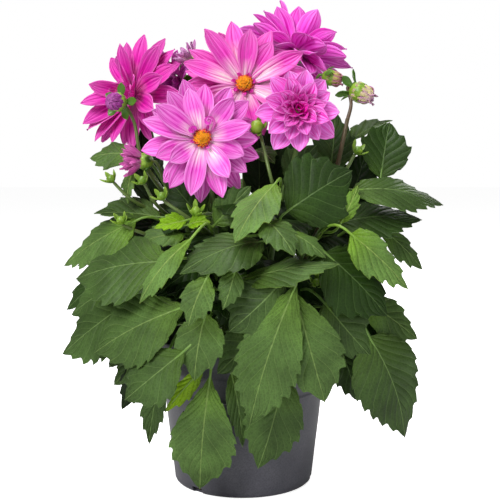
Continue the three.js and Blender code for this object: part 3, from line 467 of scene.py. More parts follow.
veins = add(tree, "Math", (side_veins, midrib), operation="MAXIMUM")

young = add(tree, "Clamp", (age_and_painted_shade,))
# Painted shade: a leaf of age below zero stands deep in the plant, so it gets a dark green coat.
painted_shade = add(tree, "MapRange", (age_and_painted_shade, -0.5, 0.05, 1.0, 0.0))
sprouting = add(tree, "MapRange", (age_and_painted_shade, 1.1, 1.7, 0.0, 1.0))
# Painted shade too: this dims the colour and the veins of leaves of low age.
light = add(tree, "MapRange", (age_and_painted_shade, -0.6, 0.0, 0.22, 1.0))
near_stalk = add(tree, "MapRange", (along, 0.0, 0.4, 0.7, 0.0))
yellowing = add(tree, "Math", (young, 0.14), operation="ADD")
fresh = add(tree, "Math", (near_stalk, yellowing), operation="MULTIPLY")
back_green = layered(tree, "#5a7a3c", (young, "#84a034"), (sprouting, "#8cb41e"))
green = layered(
    tree, "#30441e", (young, "#60803e"), (painted_shade, "#264608"), (sprouting, "#70980e"), (under, back_green),
    (fresh, "#6c921a"),
)
blotches = add(tree, "TexNoise", {"Vector": place, "Scale": 42.0, "Detail": 3.0})
cloud = add(tree, "MapRange", (blotches, 0.3, 0.7, 0.64, 1.28))
clouded = add(tree, "Math", (cloud, light), operation="MULTIPLY")
net = add(tree, "TexVoronoi", {"Vector": place, "Scale": 430.0}, feature="DISTANCE_TO_EDGE")
cells = add(tree, "MapRange", (net, 0.0, 0.22, 1.22, 0.92))
# The dimming multiplied in here is painted shade on the inner leaves.
for factor in (clouded, cells):
    green = add(tree, "Mix", {0: 1.0, 6: green, 7: factor}, data_type="RGBA", blend_type="MULTIPLY")
vein_green = layered(tree, "#789658", (young, "#a4b864"))
vein_strength = add(tree, "Math", (light, 0.66), operation="MULTIPLY")
vein_share = add(tree, "Math", (veins, vein_strength), operation="MULTIPLY")

wave = add(tree, "Math", (offset, 2 * math.pi), operation="MULTIPLY")
swell = add(tree, "Math", (wave,), operation="SINE")
quilted = add(tree, "Math", (swell, 0.55), operation="MULTIPLY")
near_vein = add(tree, "Math", (offset, -2.0, 1.0), operation="MULTIPLY_ADD")
crease = add(tree, "Math", (near_vein, 2.0), operation="POWER")
grooved = add(tree, "Math", (crease, -0.45, quilted), operation="MULTIPLY_ADD")
bulge = add(tree, "Math", (midrib, -0.5, grooved), operation="MULTIPLY_ADD")
height = add(tree, "Math", (net, 0.3, bulge), operation="MULTIPLY_ADD")
bump = add(tree, "Bump", {"Height": height, "Strength": 0.78, "Distance": 0.001})
colour = layered(tree, green, (vein_share, vein_green))
feed(shader, {"Base Color": colour, "Roughness": 0.52, "Specular IOR Level": 0.17, "Normal": bump})
print(len(tree.nodes), "nodes in the leaf finish")

# %% [markdown]
# Stems and the green scales of buds are juicier than a leaf, so they are smoother and shine more.

# %% Stem and bud scale materials
# Herbaceous stem: smooth and juicy, finely grained, green with a purple-brown flush higher up.
stem_finish, tree, shader, place, flush = new_material("dahlia_stem_green", "tone")
mottle = add(tree, "TexNoise", {"Vector": place, "Scale": 90.0, "Detail": 3.0})
green = layered(tree, "#4a6c2a", (mottle, "#6c8c40"))
lime = layered(tree, "#5c8424", (mottle, "#84a83c"))
purple = layered(tree, "#4c322a", (mottle, "#6c4c3a"))
lime_share = add(tree, "Math", (flush, -1.0), operation="MULTIPLY", use_clamp=True)
colour = layered(tree, green, (lime_share, lime), (flush, purple))
grain = add(tree, "TexNoise", {"Vector": place, "Scale": 700.0, "Detail": 2.0})
bump = add(tree, "Bump", {"Height": grain, "Strength": 0.3, "Distance": 0.0003})
feed(shader, {"Base Color": colour, "Roughness": 0.42, "Normal": bump})

# Bud scales: fleshy, smooth and shiny, lighter at their tips.
bud_finish, tree, shader, place, share, ripe, row = new_material(
    "dahlia_bud_scale_green", "along", "tone", "row"
)
colour = layered(tree, "#4a7420", (ripe, "#84a82c"), (share, "#9cbc40"), (row, "#3c6a18"))
grain = add(tree, "TexNoise", {"Vector": place, "Scale": 500.0, "Detail": 2.0})
bump = add(tree, "Bump", {"Height": grain, "Strength": 0.2, "Distance": 0.0003})
feed(shader, {"Base Color": colour, "Roughness": 0.38, "Normal": bump})
print("three green finishes")

# %% [markdown]
# ## Leaves
# Each leaf is a row: the height where its stalk leaves the stem, its blade's base and tip, its width,
# the way its upper face looks, its arch, its fold, the rise of its stalk, and its age, from -0.5, dark
# with painted shade for a leaf deep in the plant, over 1, young, to 1.8, just sprouting. A tenth value,
# where there is one, says where the blade is widest: a small one is widest near the base. The edge is
# bare by the stalk and then has forward teeth. A tooth's long side faces the base.

# %% Leaf blade
TOOTH_MM = 9.4
VEIN_MM = 7.6
BLADE_MM = 0.6
TOOTH_POINT = 0.72
TOOTH_STEPS = np.array([0, 0.42, TOOTH_POINT, 0.88])
TOOTH_DEPTHS = [-1.5, 0.7, 1.5, -0.5, -1.5]
ACROSS_STEPS = np.array([-1, -0.8, -0.52, -0.2, 0, 0.2, 0.52, 0.8, 1.0])
STALK_STEPS = 12


def half_width(share, shoulder):
    return np.sin(np.pi * np.clip(share, 0, 1) ** shoulder) ** (0.72 + 0.42 * share)


def add_leaf(shape, stalks, stem, row, seed):
    at, base, tip, width, face, bow, fold, rise, tone, *given = row
    shoulder = given[0] if given else 0.68 + 0.18 * draw(seed + 5)
    base, along = np.array(base, float), np.array(tip, float) - np.array(base, float)
    length = np.linalg.norm(along)
    across = unit(np.cross(face, along))
    up = unit(np.cross(along, across))
    teeth = max(5, round(length / TOOTH_MM))
    veins = max(5, round(length / VEIN_MM))
    s = np.append(np.concatenate([(k + TOOTH_STEPS) / teeth for k in range(teeth)]), 1.0)[:, None]
    v = ACROSS_STEPS[None, :]
    in_tooth = (s * teeth) % 1
    depth = np.array([0.7 + 0.7 * draw(seed + 31 * k) for k in range(teeth + 1)])[(s * teeth).astype(int)]
    bare = 0.08 + 0.2 * shoulder
    depth = depth * np.clip(4 * (s - bare), 0, 1) * np.clip(4 - 4 * s, 0, 1) * min(1.2, max(0.5, width / 38))
    notch = depth * np.interp(in_tooth, [*TOOTH_STEPS, 1], TOOTH_DEPTHS)
    at_point = (np.abs(in_tooth - TOOTH_POINT) < 0.01) * (np.abs(v) == 1)
    hook = 0.2 * length / teeth * at_point * np.clip(5 - 5 * s, 0, 1)
    half = np.maximum(width / 2 * half_width(s, shoulder), np.where(s < 0.5, 1.0, 0.15))
    side = v * half + np.sign(v) * np.abs(v) ** 5 * np.minimum(notch, half)
    ripple = np.sin(2 * np.pi * (2.3 * s + draw(seed)) + 1.6 * np.sign(v))
    wave = 0.9 * ripple * v**2 * np.minimum(1, half / 8)
    dip = 0.5 * np.exp(-((side / 1.6) ** 2)) * np.minimum(1, half / 6)
    lift = 1.5 * fold * np.abs(side) + 4 * s * (1 - s) * bow + wave - dip
    sway = (draw(seed + 9) - 0.5) * 0.07 * length * 4 * s * (1 - s)
    grid = base + along * (s + hook / length)[..., None] + across * (side + sway)[..., None]
    grid = grid + up * lift[..., None]
    phase = veins * (s + 0.36 - 0.36 * np.abs(v) ** 0.85) / 2 - 0.36
    add_sheet(
        shape, grid, BLADE_MM, side_mm=np.abs(side) + 0 * s, phase=phase + 0 * v,
        along=s + 0 * v, vein_mm=2 * length / veins, tone=tone + 0.36 * (draw(seed + 3) - 0.5),
    )
    start = at_height(stem, at)
    span = np.linalg.norm(base - start)
    first = start + 0.4 * (base - start) + (0, 0, span * rise)
    stalk = bezier(start, first, base - unit(along) * 0.3 * span, base, STALK_STEPS)
    rib = grid[4::4, 4][: max(2, int(0.8 * teeth))] - up * 0.55
    radii = np.concatenate([np.linspace(1.35, 0.95, STALK_STEPS), np.linspace(0.85, 0.35, len(rib))])
    add_tube(stalks, np.vstack([stalk, rib]), radii, 7, tone=-0.2 - 0.8 * max(tone, 0))


print(len(TOOTH_STEPS), "by", len(ACROSS_STEPS), "points shape each tooth's stretch of a blade")

# %% [markdown]
# The leaves seen from the front are listed one by one, each by the shoot that it grows on.

# %% Leaves of the front
LEAVES = {
    "front_left": [
        (128, (-23, -88, 101), (-31, -82, 18), 47, (-0.1, -1, 0.1), 5, -0.1, 0.3, 0.35, 1.3),
        (150, (-25, -108, 150), (-33, -106, 103), 34, (-0.1, -1, 0.3), 3, -0.12, 0.12, 0.35),
        (170, (-23, -118, 177), (-36, -120, 144), 23, (-0.2, -1, 0.3), 3, -0.12, 0.12, 0.35, 0.9),
        (188, (14, -90, 198), (-42, -114, 178), 44, (-0.2, -0.6, 0.78), 8, -0.12, 0.12, 0.1),
        (194, (-35, -108, 201), (-71, -100, 156), 20, (-0.5, -0.75, 0.5), 4, -0.2, 0.12, 1.0, 0.95),
        (145, (-40, -102, 154), (-106, -78, 117), 52, (-0.4, -0.85, 0.4), 4, -0.12, 0.12, 0.25, 1.1),
        (132, (-40, -108, 124), (-82, -100, 88), 40, (-0.3, -0.85, 0.42), 3, -0.1, 0.25, 0.2, 1.05),
        (122, (-29, -82, 105), (-56, -76, 73), 14, (0.3, 0.9, -0.3), 2, 0.2, 0.3, 1.8, 0.9),
        (212, (-40, -78, 212), (-62, -84, 207), 14, (-0.1, -0.8, 0.6), 2, 0.2, 0.12, 1.8),
        (210, (-38, -80, 209), (-22, -86, 211), 12, (0.1, -0.8, 0.6), 2, 0.2, 0.12, 1.8),
        (204, (-20, -62, 208), (6, -66, 236), 24, (0.1, -0.95, 0.3), 2, 0, 0.12, 0.35),
        (178, (-6, -40, 196), (-8, -36, 229), 24, (0, -0.95, 0.3), 3, 0, -0.1, 0.1),
        (160, (-22, -10, 176), (-29, -8, 222), 25, (0, -1, 0.1), 2, 0, 0, 0.1),
    ],
    "front_right": [
        (152, (36, -114, 170), (5, -106, 72), 46, (-0.3, -1, 0.2), 6, -0.12, 0.12, 0.25, 1.15),
        (143, (36, -110, 164), (57, -106, 88), 44, (-0.1, -1, 0.35), 5, -0.1, 0.12, 0.4, 1.15),
        (161, (28, -108, 173), (-9, -104, 137), 40, (-0.1, -1, 0.15), 4, -0.1, 0.12, 0.15, 1.0),
        (166, (1, -98, 172), (66, -108, 184), 32, (0, -0.45, 0.9), 5, -0.15, 0.12, 0.3),
        (216, (23, -82, 238), (-5, -112, 199), 34, (-0.45, -0.7, 0.55), 5, -0.12, 0.12, 0.75, 0.9),
        (198, (16, -100, 214), (35, -122, 191), 25, (0.2, -0.75, 0.65), 4, -0.12, 0.12, 0.35),
        (190, (33, -95, 205), (57, -104, 188), 20, (0.4, -0.7, 0.7), 3, -0.2, 0.12, 0.45),
        (176, (-5, -112, 180), (-13, -116, 154), 17, (0, -0.95, 0.3), 2, -0.12, 0.12, 0.3),
        (132, (30, -88, 104), (11, -82, 33), 42, (-0.1, -1, 0.1), 4, -0.1, 0.3, 0.1, 0.95),
        (128, (-8, -80, 102), (0, -76, 47), 17, (0.2, -1, 0.1), 3, 0.3, 0.35, 0.3),
        (124, (10, -80, 132), (-18, -84, 103), 34, (0, -0.95, 0.3), 2, -0.12, 0.12, 0.1),
        (134, (22, -14, 158), (14, -16, 204), 40, (0, -1, 0.2), 3, 0, 0, 0.1),
    ],
    "left": [
        (160, (-53, -88, 184), (-122, -60, 168), 60, (-0.2, -0.7, 0.7), 5, -0.12, 0.12, 0.35, 0.9),
        (180, (-79, -50, 210), (-137, -26, 174), 46, (-0.45, -0.58, 0.68), 5, -0.12, 0.12, 0.6),
        (140, (-100, -40, 158), (-132, -26, 136), 32, (-0.5, -0.6, 0.6), 3, -0.12, 0.12, 0.1),
        (136, (-83, -66, 152), (-136, -44, 109), 57, (-0.5, -0.7, 0.6), 4, -0.12, 0.12, 0.3),
        (130, (-68, -64, 120), (-96, -55, 88), 30, (-0.4, -0.8, 0.4), 2, -0.1, 0.3, 0.1),
        (122, (-70, -48, 108), (-87, -46, 70), 14, (-0.4, -0.9, 0.2), 2, 0.1, 0.4, 0.1),
        (119, (-58, -70, 102), (-69, -66, 46), 19, (-0.3, -1, 0.1), 2, 0.1, 0.5, 0.1),
        (196, (-62, -38, 212), (-114, -24, 214), 28, (-0.1, -0.5, 0.9), 3, 0.25, 0.12, 0.1),
        (226, (-84, -30, 259), (-117, -20, 256), 28, (0, -0.7, 0.7), 3, -0.12, 0.12, 0.25),
        (204, (-82, -34, 248), (-86, -38, 222), 11, (-0.5, -0.85, 0.2), 2, 0.1, 0.12, 0.8),
        (190, (-44, -50, 200), (-76, -62, 194), 24, (-0.2, -0.7, 0.7), 3, 0, 0.12, 0.4),
        (176, (-46, 10, 190), (-58, 14, 232), 34, (-0.1, -0.95, 0.2), 3, 0, 0, 0.1),
    ],
    "right": [
        (188, (32, -70, 218), (79, -62, 247), 56, (0.2, -0.95, 0.2), 6, -0.1, 0.12, -0.08),
        (226, (67, -14, 246), (72, 2, 293), 33, (-0.1, -0.95, 0.35), 3, -0.05, 0.12, -0.15),
        (236, (84, 0, 270), (118, 8, 286), 26, (0, -0.25, 0.97), 2, 0.15, 0.12, -0.05),
        (220, (104, -30, 241), (114, -4, 284), 38, (0.15, -0.85, 0.5), 3, 0.1, 0.12, -0.05),
        (206, (80, -60, 233), (150, -38, 221), 40, (0.1, -0.55, 0.83), 6, -0.12, 0.12, 0.3),
        (190, (70, -54, 209), (134, -40, 210), 40, (0, -0.6, 0.8), 4, -0.12, 0.12, -0.15),
        (180, (76, -86, 203), (118, -78, 163), 36, (0.5, -0.75, 0.5), 4, -0.12, 0.12, 1.0, 0.58),
        (170, (104, -40, 203), (136, -34, 172), 23, (0.5, -0.7, 0.5), 3, -0.12, 0.12, 0.4),
        (160, (58, -88, 190), (103, -80, 144), 54, (0.4, -0.85, 0.35), 3, -0.12, 0.12, -0.35),
        (148, (90, -56, 152), (131, -46, 121), 35, (0.5, -0.75, 0.45), 3, -0.12, 0.12, 0.3),
        (132, (91, -76, 128), (120, -62, 50), 61, (0.5, -0.85, 0.2), 5, -0.1, 0.2, 0.0),
        (140, (58, -84, 154), (92, -78, 114), 40, (0.2, -0.95, 0.3), 3, -0.12, 0.12, 0.0),
        (122, (73, -60, 114), (85, -54, 76), 24, (0.4, -0.9, 0.2), 2, -0.1, 0.3, 0.1),
        (128, (46, -10, 148), (72, -14, 120), 38, (0.1, -0.95, 0.3), 3, 0, 0.1, 0.1),
        (156, (48, 0, 172), (74, 4, 216), 44, (0, -0.95, 0.3), 3, 0, 0, 0.1),
    ],
    "middle": [
        (222, (34, -26, 238), (56, -22, 266), 30, (0.1, -0.95, 0.35), 3, 0, 0.12, 0.1),
        (200, (-26, -20, 222), (-18, -10, 260), 34, (-0.1, -0.9, 0.4), 3, 0, 0.12, 0.1),
        (250, (8, -22, 262), (24, -34, 252), 22, (0.3, -0.7, 0.7), 3, 0, 0.12, 0.1),
    ],
}
print(sum(len(rows) for rows in LEAVES.values()), "leaves of the front")

# %% [markdown]
# Behind the leaves of the front stand darker ones that close the gaps. Their low age gives them painted
# shade, as leaves deep in the plant lie in shade. Some are listed here, and the rest follow by rule
# further down.

# %% Inner leaves
# Most of these have ages near -0.5, which paints shade on them.
INNER = {
    "left": [
        (180, (-72, -4, 220), (-80, 4, 281), 28, (-0.1, -0.95, 0.2), 3, 0, 0, -0.5),
        (176, (-72, -20, 196), (-130, -8, 172), 36, (-0.3, -0.7, 0.6), 4, -0.1, 0.1, -0.2),
        (150, (-92, -26, 174), (-138, -14, 138), 34, (-0.4, -0.75, 0.5), 4, -0.1, 0.1, -0.1),
        (125, (-64, -64, 118), (-90, -58, 70), 24, (-0.2, -0.95, 0.2), 3, -0.1, 0.2, -0.5),
        (184, (-44, -14, 194), (-97, -12, 211), 28, (-0.1, -0.8, 0.5), 3, 0, 0, -0.5),
        (140, (-66, -52, 140), (-99, -60, 102), 32, (-0.3, -0.9, 0.3), 3, -0.1, 0.1, 0.1),
        (150, (-44, -36, 170), (-66, -44, 138), 30, (-0.2, -0.95, 0.2), 3, -0.1, 0.1, -0.5),
    ],
    "middle": [
        (212, (24, -8, 230), (28, -4, 288), 34, (0, -0.97, 0.2), 3, 0, 0, -0.5),
        (206, (12, -14, 226), (9, -10, 284), 28, (0, -0.97, 0.2), 3, 0, 0, -0.5),
    ],
    "front_left": [
        (190, (-30, -36, 210), (-56, -28, 240), 30, (-0.1, -0.95, 0.3), 3, 0, 0, -0.5),
        (150, (-28, -44, 180), (-64, -60, 156), 34, (-0.1, -0.95, 0.3), 4, -0.1, 0.1, -0.5),
        (130, (-8, -56, 166), (-6, -66, 126), 30, (0, -0.97, 0.2), 3, -0.1, 0.1, -0.5),
        (140, (-26, -52, 170), (-52, -62, 136), 32, (-0.1, -0.97, 0.2), 3, -0.1, 0.1, -0.5),
        (180, (-6, -44, 188), (18, -50, 216), 32, (0, -0.97, 0.2), 3, 0, 0, -0.5),
        (160, (-16, -34, 178), (-26, -46, 134), 34, (0, -0.97, 0.2), 3, -0.1, 0.1, -0.5),
    ],
    "front_right": [
        (188, (44, -38, 200), (38, -34, 232), 32, (0, -0.97, 0.2), 3, 0, 0, -0.5),
        (160, (38, -46, 180), (58, -62, 150), 34, (0.1, -0.95, 0.3), 3, -0.1, 0.1, -0.5),
        (140, (30, -50, 176), (34, -62, 140), 34, (0, -0.97, 0.2), 3, -0.1, 0.1, -0.5),
    ],
    "right": [
        (150, (66, -42, 160), (112, -52, 114), 44, (0.2, -0.9, 0.4), 4, -0.1, 0.1, -0.15),
        (132, (76, -34, 126), (94, -40, 90), 26, (0.2, -0.95, 0.2), 3, -0.1, 0.1, -0.5),
        (206, (84, -10, 224), (96, -2, 264), 28, (0.1, -0.95, 0.3), 3, 0, 0, -0.5),
        (178, (60, -24, 196), (112, -30, 200), 34, (0.1, -0.8, 0.6), 4, 0, 0, -0.5),
        (196, (62, -10, 206), (104, -6, 222), 34, (0, -0.9, 0.4), 3, 0, 0, -0.5),
        (190, (71, -66, 210), (83, -66, 237), 13, (0.2, -0.9, 0.3), 2, -0.1, 0.2, 1.3),
    ],
}
for name, rows in INNER.items():
    LEAVES[name] += rows
print(sum(len(rows) for rows in INNER.values()), "inner leaves placed by hand")

# %% [markdown]
# The plant's far side isn't in the picture. There the leaves grow by rule, level over level, first two
# and then one, each leaning out and down.

# %% Leaves of the far side
BACK_LEVELS = [
    (138, (-15, 15), 62, 114, 48, 36),
    (168, (0,), 62, 128, 40, 48),
    (198, (-15, 15), 62, 124, 32, 40),
    (236, (0,), 42, 104, 8, 44),
]


def back_leaves(towards):
    rows = []
    for index, (z, spread, near, far, drop, width) in enumerate(BACK_LEVELS):
        for turn in spread:
            play = draw(towards + 10 * index + turn) - 0.5
            heading = math.radians(towards + turn + 4 * play)
            c, s = math.cos(heading), math.sin(heading)
            reach = far * (1 + 0.1 * play)
            lift = 8 * ((turn > 0) - (turn < 0))
            base = (near * c, near * s, z + lift)
            tip = (reach * c, reach * s, z + lift - drop)
            face, age_and_painted_shade = (0.6 * c, 0.6 * s, 0.8), 0.1 + 0.3 * play
            rows.append((z - 16 + 0.8 * lift, base, tip, width, face, 7, -0.12, 0.12, age_and_painted_shade))
    return rows


for name, towards in (("back_left", 150), ("back_right", 30), ("back", 90)):
    LEAVES[name] = back_leaves(towards)
print(sum(len(rows) for rows in LEAVES.values()), "leaves")

# %% [markdown]
# ## Heads, buds and stems
# A head is a place and a direction. A stem is given by its foot, its radius, its guide points and its
# head. It stands straight in the soil and ends behind its head. Buds sit on side stalks: green ones are
# round cups of scales, ripe ones show their colour. A bud's row gives its shoot, place, direction and
# radius, the height where its stalk leaves the stem, the stalk's guide points, the name of its coloured
# tip, if any, and its ripeness.

# %% Heads, buds and stems
HEADS = {
    "front": Head((-29, -60, 270), (0.02, -1, 0.06)),
    "middle": Head((1, -25, 311), (0.02, -0.98, 0.18)),
    "double": Head((43, -53, 290), (0.1, -0.98, 0.1)),
    "top_right": Head((41, 24, 340), (0.3, 0.36, 0.87)),
    "left": Head((-87, 4, 306), (-0.66, -0.72, 0.12)),
    "small": Head((-53, 26, 318), (-0.72, -0.3, -0.35)),
}
STEMS = {
    "front_left": ((-16, -18), 3.2, [(-19, -24, 170), (-23, -30, 225), (-29, -38, 256)], "front"),
    "front_right": ((14, -20), 3.2, [(20, -28, 170), (30, -33, 230), (40, -34, 262)], "double"),
    "left": ((-22, 2), 3.2, [(-34, 0, 170), (-60, 2, 235), (-74, 8, 280)], "left"),
    "right": ((26, -4), 3, [(44, -12, 170), (66, -24, 222), (72, -25, 251), (80, -16, 286)], None),
    "middle": ((2, -4), 3.2, [(2, -6, 190), (1, -4, 250), (1, 2, 290)], "middle"),
    "back_left": ((-14, 18), 3, [(-24, 24, 190), (-38, 30, 260), (-38, 30, 296)], "small"),
    "back_right": ((18, 14), 3, [(26, 20, 190), (38, 26, 260), (46, 25, 308)], "top_right"),
    "back": ((0, 24), 3, [(0, 32, 190), (0, 36, 235)], None),
}
BUDS = [
    ("front_left", (-33, -80, 219), (0.1, -0.6, 0.8), 3.4, 196, [(-34, -60, 206)], None, 0.6),
    ("front_left", (-58, -70, 229), (-0.4, -0.5, 0.8), 3.2, 196, [(-40, -68, 214)], None, 0.2),
    ("front_right", (10, -50, 279), (-0.3, -0.85, 0.4), 5, 222, [(21, -58, 240)], None, 1.0),
    ("left", (-93, -41, 297.5), (-0.35, -0.93, 0.02), 7, 214, [(-76, -32, 255), (-82, -31, 284)],
     "left", 0.3),
    ("left", (-73, -42, 254), (-0.97, -0.2, 0.1), 6, 206, [(-60, -30, 240)], "low_left", 0.4),
    ("left", (-98, -44, 241), (-0.5, -0.4, 0.7), 3.2, 204, [(-84, -40, 226)], None, 0.2),
    ("left", (-74, -52, 240), (-0.4, -0.6, 0.7), 3.2, 200, [(-66, -44, 224)], None, 0.1),
    ("left", (-89, -58, 211), (-0.3, -0.5, 0.8), 3.2, 186, [(-72, -48, 200)], None, 0.5),
    ("right", (89.5, -12, 306.5), (0.8, -0.4, -0.42), 7.7, 284, [(83, -13, 298)], "right", 0.8),
    ("right", (86, -36, 262), (0.5, -0.4, 0.75), 3.4, 232, [(79, -34, 250)], None, 0.1),
    ("right", (53, -78, 168), (0.2, -0.8, 0.5), 3, 150, [(48, -50, 162)], None, 0.5),
    ("back_left", (-39, 8, 332), (-0.75, -0.2, 0.62), 6.5, 270, [(-28, 22, 314)], "top_left", 0.3),
    ("back_right", (67, -10, 318), (0.95, -0.15, -0.25), 6, 272, [(52, 8, 300)], "top_right", 0.5),
]


def stem_line(name):
    (x, y), _, route, head = STEMS[name]
    points = [(x, y, 66), (x, y, 92), (x, y, 118), *route]
    if head:
        points += list(HEADS[head].place([(0, 0, -16), (0, 0, -8)]))
    return smooth_path(points, 12)


def path_shares(path):
    steps = np.linalg.norm(np.diff(path, axis=0), axis=1)
    return np.concatenate([[0], np.cumsum(steps)]) / steps.sum()


print(len(HEADS), "heads and", len(BUDS), "buds")

# %% [markdown]
# ## Petals
# A petal is a sheet too. Its direction turns from its first tilt by its curl on the way to the tip, its
# edges stand up a little, and it ends in a blunt point. Rows of petals stand behind one another round
# the head's core.

# %% Petal and scale shapes
WIDEST = 0.57


def add_petal(
    shape, head, petal, seed, rows=13, cols=9, thickness=0.5, pointed=2.6, play=0.0, row=1.0, bend=0
):
    turn, start, height, length, width, tilt, curl = petal
    s = np.linspace(0, 1, rows)
    s = s + 0.06 * np.sin(2 * np.pi * s) / 2
    slope = np.radians(tilt + (curl + 22 * play * (draw(seed + 6) - 0.5)) * s)
    step = np.diff(s, prepend=0) * length
    heading = np.radians(turn + bend * s**2)
    c, d = np.cos(heading), np.sin(heading)
    east = start * math.cos(math.radians(turn)) + np.cumsum(step * np.cos(slope) * c)
    north = start * math.sin(math.radians(turn)) + np.cumsum(step * np.cos(slope) * d)
    up = height + np.cumsum(step * np.sin(slope))
    widening = 0.38 + 0.62 * np.sin(np.pi / 2 * np.minimum(s / WIDEST, 1))
    closing = 1 - np.clip((s - WIDEST) / (1 - WIDEST), 0, 1) ** pointed
    half = np.maximum(width / 2 * widening * closing, 0.15)[:, None]
    v = np.linspace(-1, 1, cols)[None, :]
    roll = math.radians(9 + 16 * play) * (draw(seed) - 0.5) * 2 * np.minimum(1, 1.6 * s[:, None])
    ripple = (0.35 + 0.5 * play) * np.sin(5 * s[:, None] + 6 * draw(seed + 2)) * v * s[:, None]
    furrow = -0.42 * np.cos(np.pi * 2.0 * v) * np.sin(np.pi * s)[:, None] * np.minimum(1, half / 5)
    cup = half * (0.34 * np.abs(v) ** 1.7 - 0.12)
    lift = cup + ripple + furrow
    side, lift = v * half * np.cos(roll) - lift * np.sin(roll), v * half * np.sin(roll) + lift * np.cos(roll)
    back = -lift * np.sin(slope)[:, None]
    east = east[:, None] + back * c[:, None] - side * d[:, None]
    north = north[:, None] + back * d[:, None] + side * c[:, None]
    grid = np.stack([east, north, up[:, None] + lift * np.cos(slope)[:, None]], axis=2)
    grid = head.place(grid.reshape(-1, 3)).reshape(grid.shape)
    along, across = s[:, None] + 0 * v, v + 0 * s[:, None]
    add_sheet(shape, grid, thickness, along=along, across=across, tone=draw(seed + 4), row=row)


def even_row(count, turn, start, height, length, width, tilt, curl, seed):
    row = []
    for i in range(count):
        play, other = draw(seed + i) - 0.5, draw(seed + i + 50) - 0.5
        heading = turn + (i + 0.2 * play) * 360 / count
        row.append((heading, start, height, length * (1 + 0.12 * play), width, tilt + 8 * other, curl))
    return row


def add_knob(shape, head, outline, sides, ribs=0, depth=0.0, **values):
    points, faces = turned(outline, sides)
    points = np.array(points, float)
    turns = np.arctan2(points[:, 1], points[:, 0])
    points[:, :2] *= (1 + depth * np.cos(ribs * turns))[:, None]
    shape.add(list(head.place(points)), faces, **values)


# %% [markdown]
# Thirty more inner leaves go round the plant by the golden angle of 137.5 degrees, one step higher each
# time, so no two stand right above each other. Each hangs on the nearest stem.

# %% Leaves by the golden angle
LINES = {name: stem_line(name) for name in STEMS}
INNER_COUNT = 30
for k in range(INNER_COUNT):
    heading, z = math.radians(137.5 * k + 20), 126 + 3.6 * k
    c, s = math.cos(heading), math.sin(heading)
    near, far = 36 + 6 * draw(k), 84 + 10 * draw(k + 40)
    base = np.array((near * c, near * s, z))
    tops = {name: line for name, line in LINES.items() if line[-1, 2] > z}
    name = min(tops, key=lambda key: np.linalg.norm(at_height(tops[key], z - 14) - base))
    tip, face = (far * c, far * s, z - 26 + 20 * draw(k + 80)), (0.5 * c, 0.5 * s - 0.2, 0.85)
    # An age of -0.42 paints shade on these leaves inside the plant.
    LEAVES[name].append((z - 14, tuple(base), tip, 38, face, 6, -0.12, 0.12, -0.42))
print(INNER_COUNT, "inner leaves by the golden angle")

# %% [markdown]
# A bud is a ribbed knob with five bracts at its foot and, unless it is a tiny one, a cup of seven scales.
# Behind each bloom sits a green cup of five bracts and eight scales.

# %% Buds and cups
BUD_FOOT = [(0, -1.1), (0.4, -1.04), (0.74, -0.78), (0.95, -0.4), (1, -0.05)]
CUT_TOP = [(0.99, 0.16), (0.92, 0.24), (0, 0.25)]
ROUND_TOP = [(0.94, 0.32), (0.72, 0.66), (0.4, 0.88), (0.12, 0.97), (0, 0.98)]
BRACTS = {"left": (10, 6.4, -15), "right": (12, 6.6, -56)}
SMALL_BUD = 4
STALK_END = 1.6
CALYX_OUTLINE = [(0, -9.6), (1.9, -9.4), (3.4, -8), (4.6, -5), (5, -2.4), (0, -2.3)]


def add_scales(shape, head, petals, seed, *size, row):
    for petal in petals:
        add_petal(shape, head, petal, seed + petal[0], *size, row=row)


def add_calyx(shape, head, turn, seed):
    add_knob(shape, head, CALYX_OUTLINE, 20, 5, 0.05, tone=0.2, along=0.1)
    bracts = even_row(5, turn, 3.4, -6.6, 11, 6.2, 8, -40, seed)
    sepals = even_row(8, turn + 20, 4.2, -3.4, 8, 5, 16, -6, seed + 5)
    add_scales(shape, head, bracts, seed, 7, 7, 0.6, 2.4, row=0.8)
    add_scales(shape, head, sepals, seed, 6, 5, 0.5, 2.4, row=0.3)


def add_bud(shape, head, r, tip, tone, seed):
    outline = BUD_FOOT + (CUT_TOP if tip else ROUND_TOP)
    add_knob(shape, head, [(x * r, z * r) for x, z in outline], 24, 8, 0.035, tone=tone, along=0.2)
    length, width, tilt = BRACTS.get(tip, (1.3 * r, 0.8 * r, 25))
    if r < SMALL_BUD:
        length, width, tilt = 2.5 * r, 1.05 * r, 38
    bracts = even_row(5, 10, 0.62 * r, -0.78 * r, length, width, tilt, 30, r)
    add_scales(shape, head, bracts, seed, 7, 5, 0.5, 2.2, row=0.9 if tip else 0.3)
    if r > SMALL_BUD:
        sepals = even_row(7, 24, 0.99 * r, -0.15 * r, 0.85 * r, 0.8 * r, 92, 26 if tip else 50, r + 3)
        add_scales(shape, head, sepals, seed, 6, 5, 0.5, 2.4, row=0.0)


print("buds with bracts of their own:", *BRACTS)

# %% [markdown]
# Each shoot's leaves are one piece, its stems and stalks another, and its buds and green cups a third.

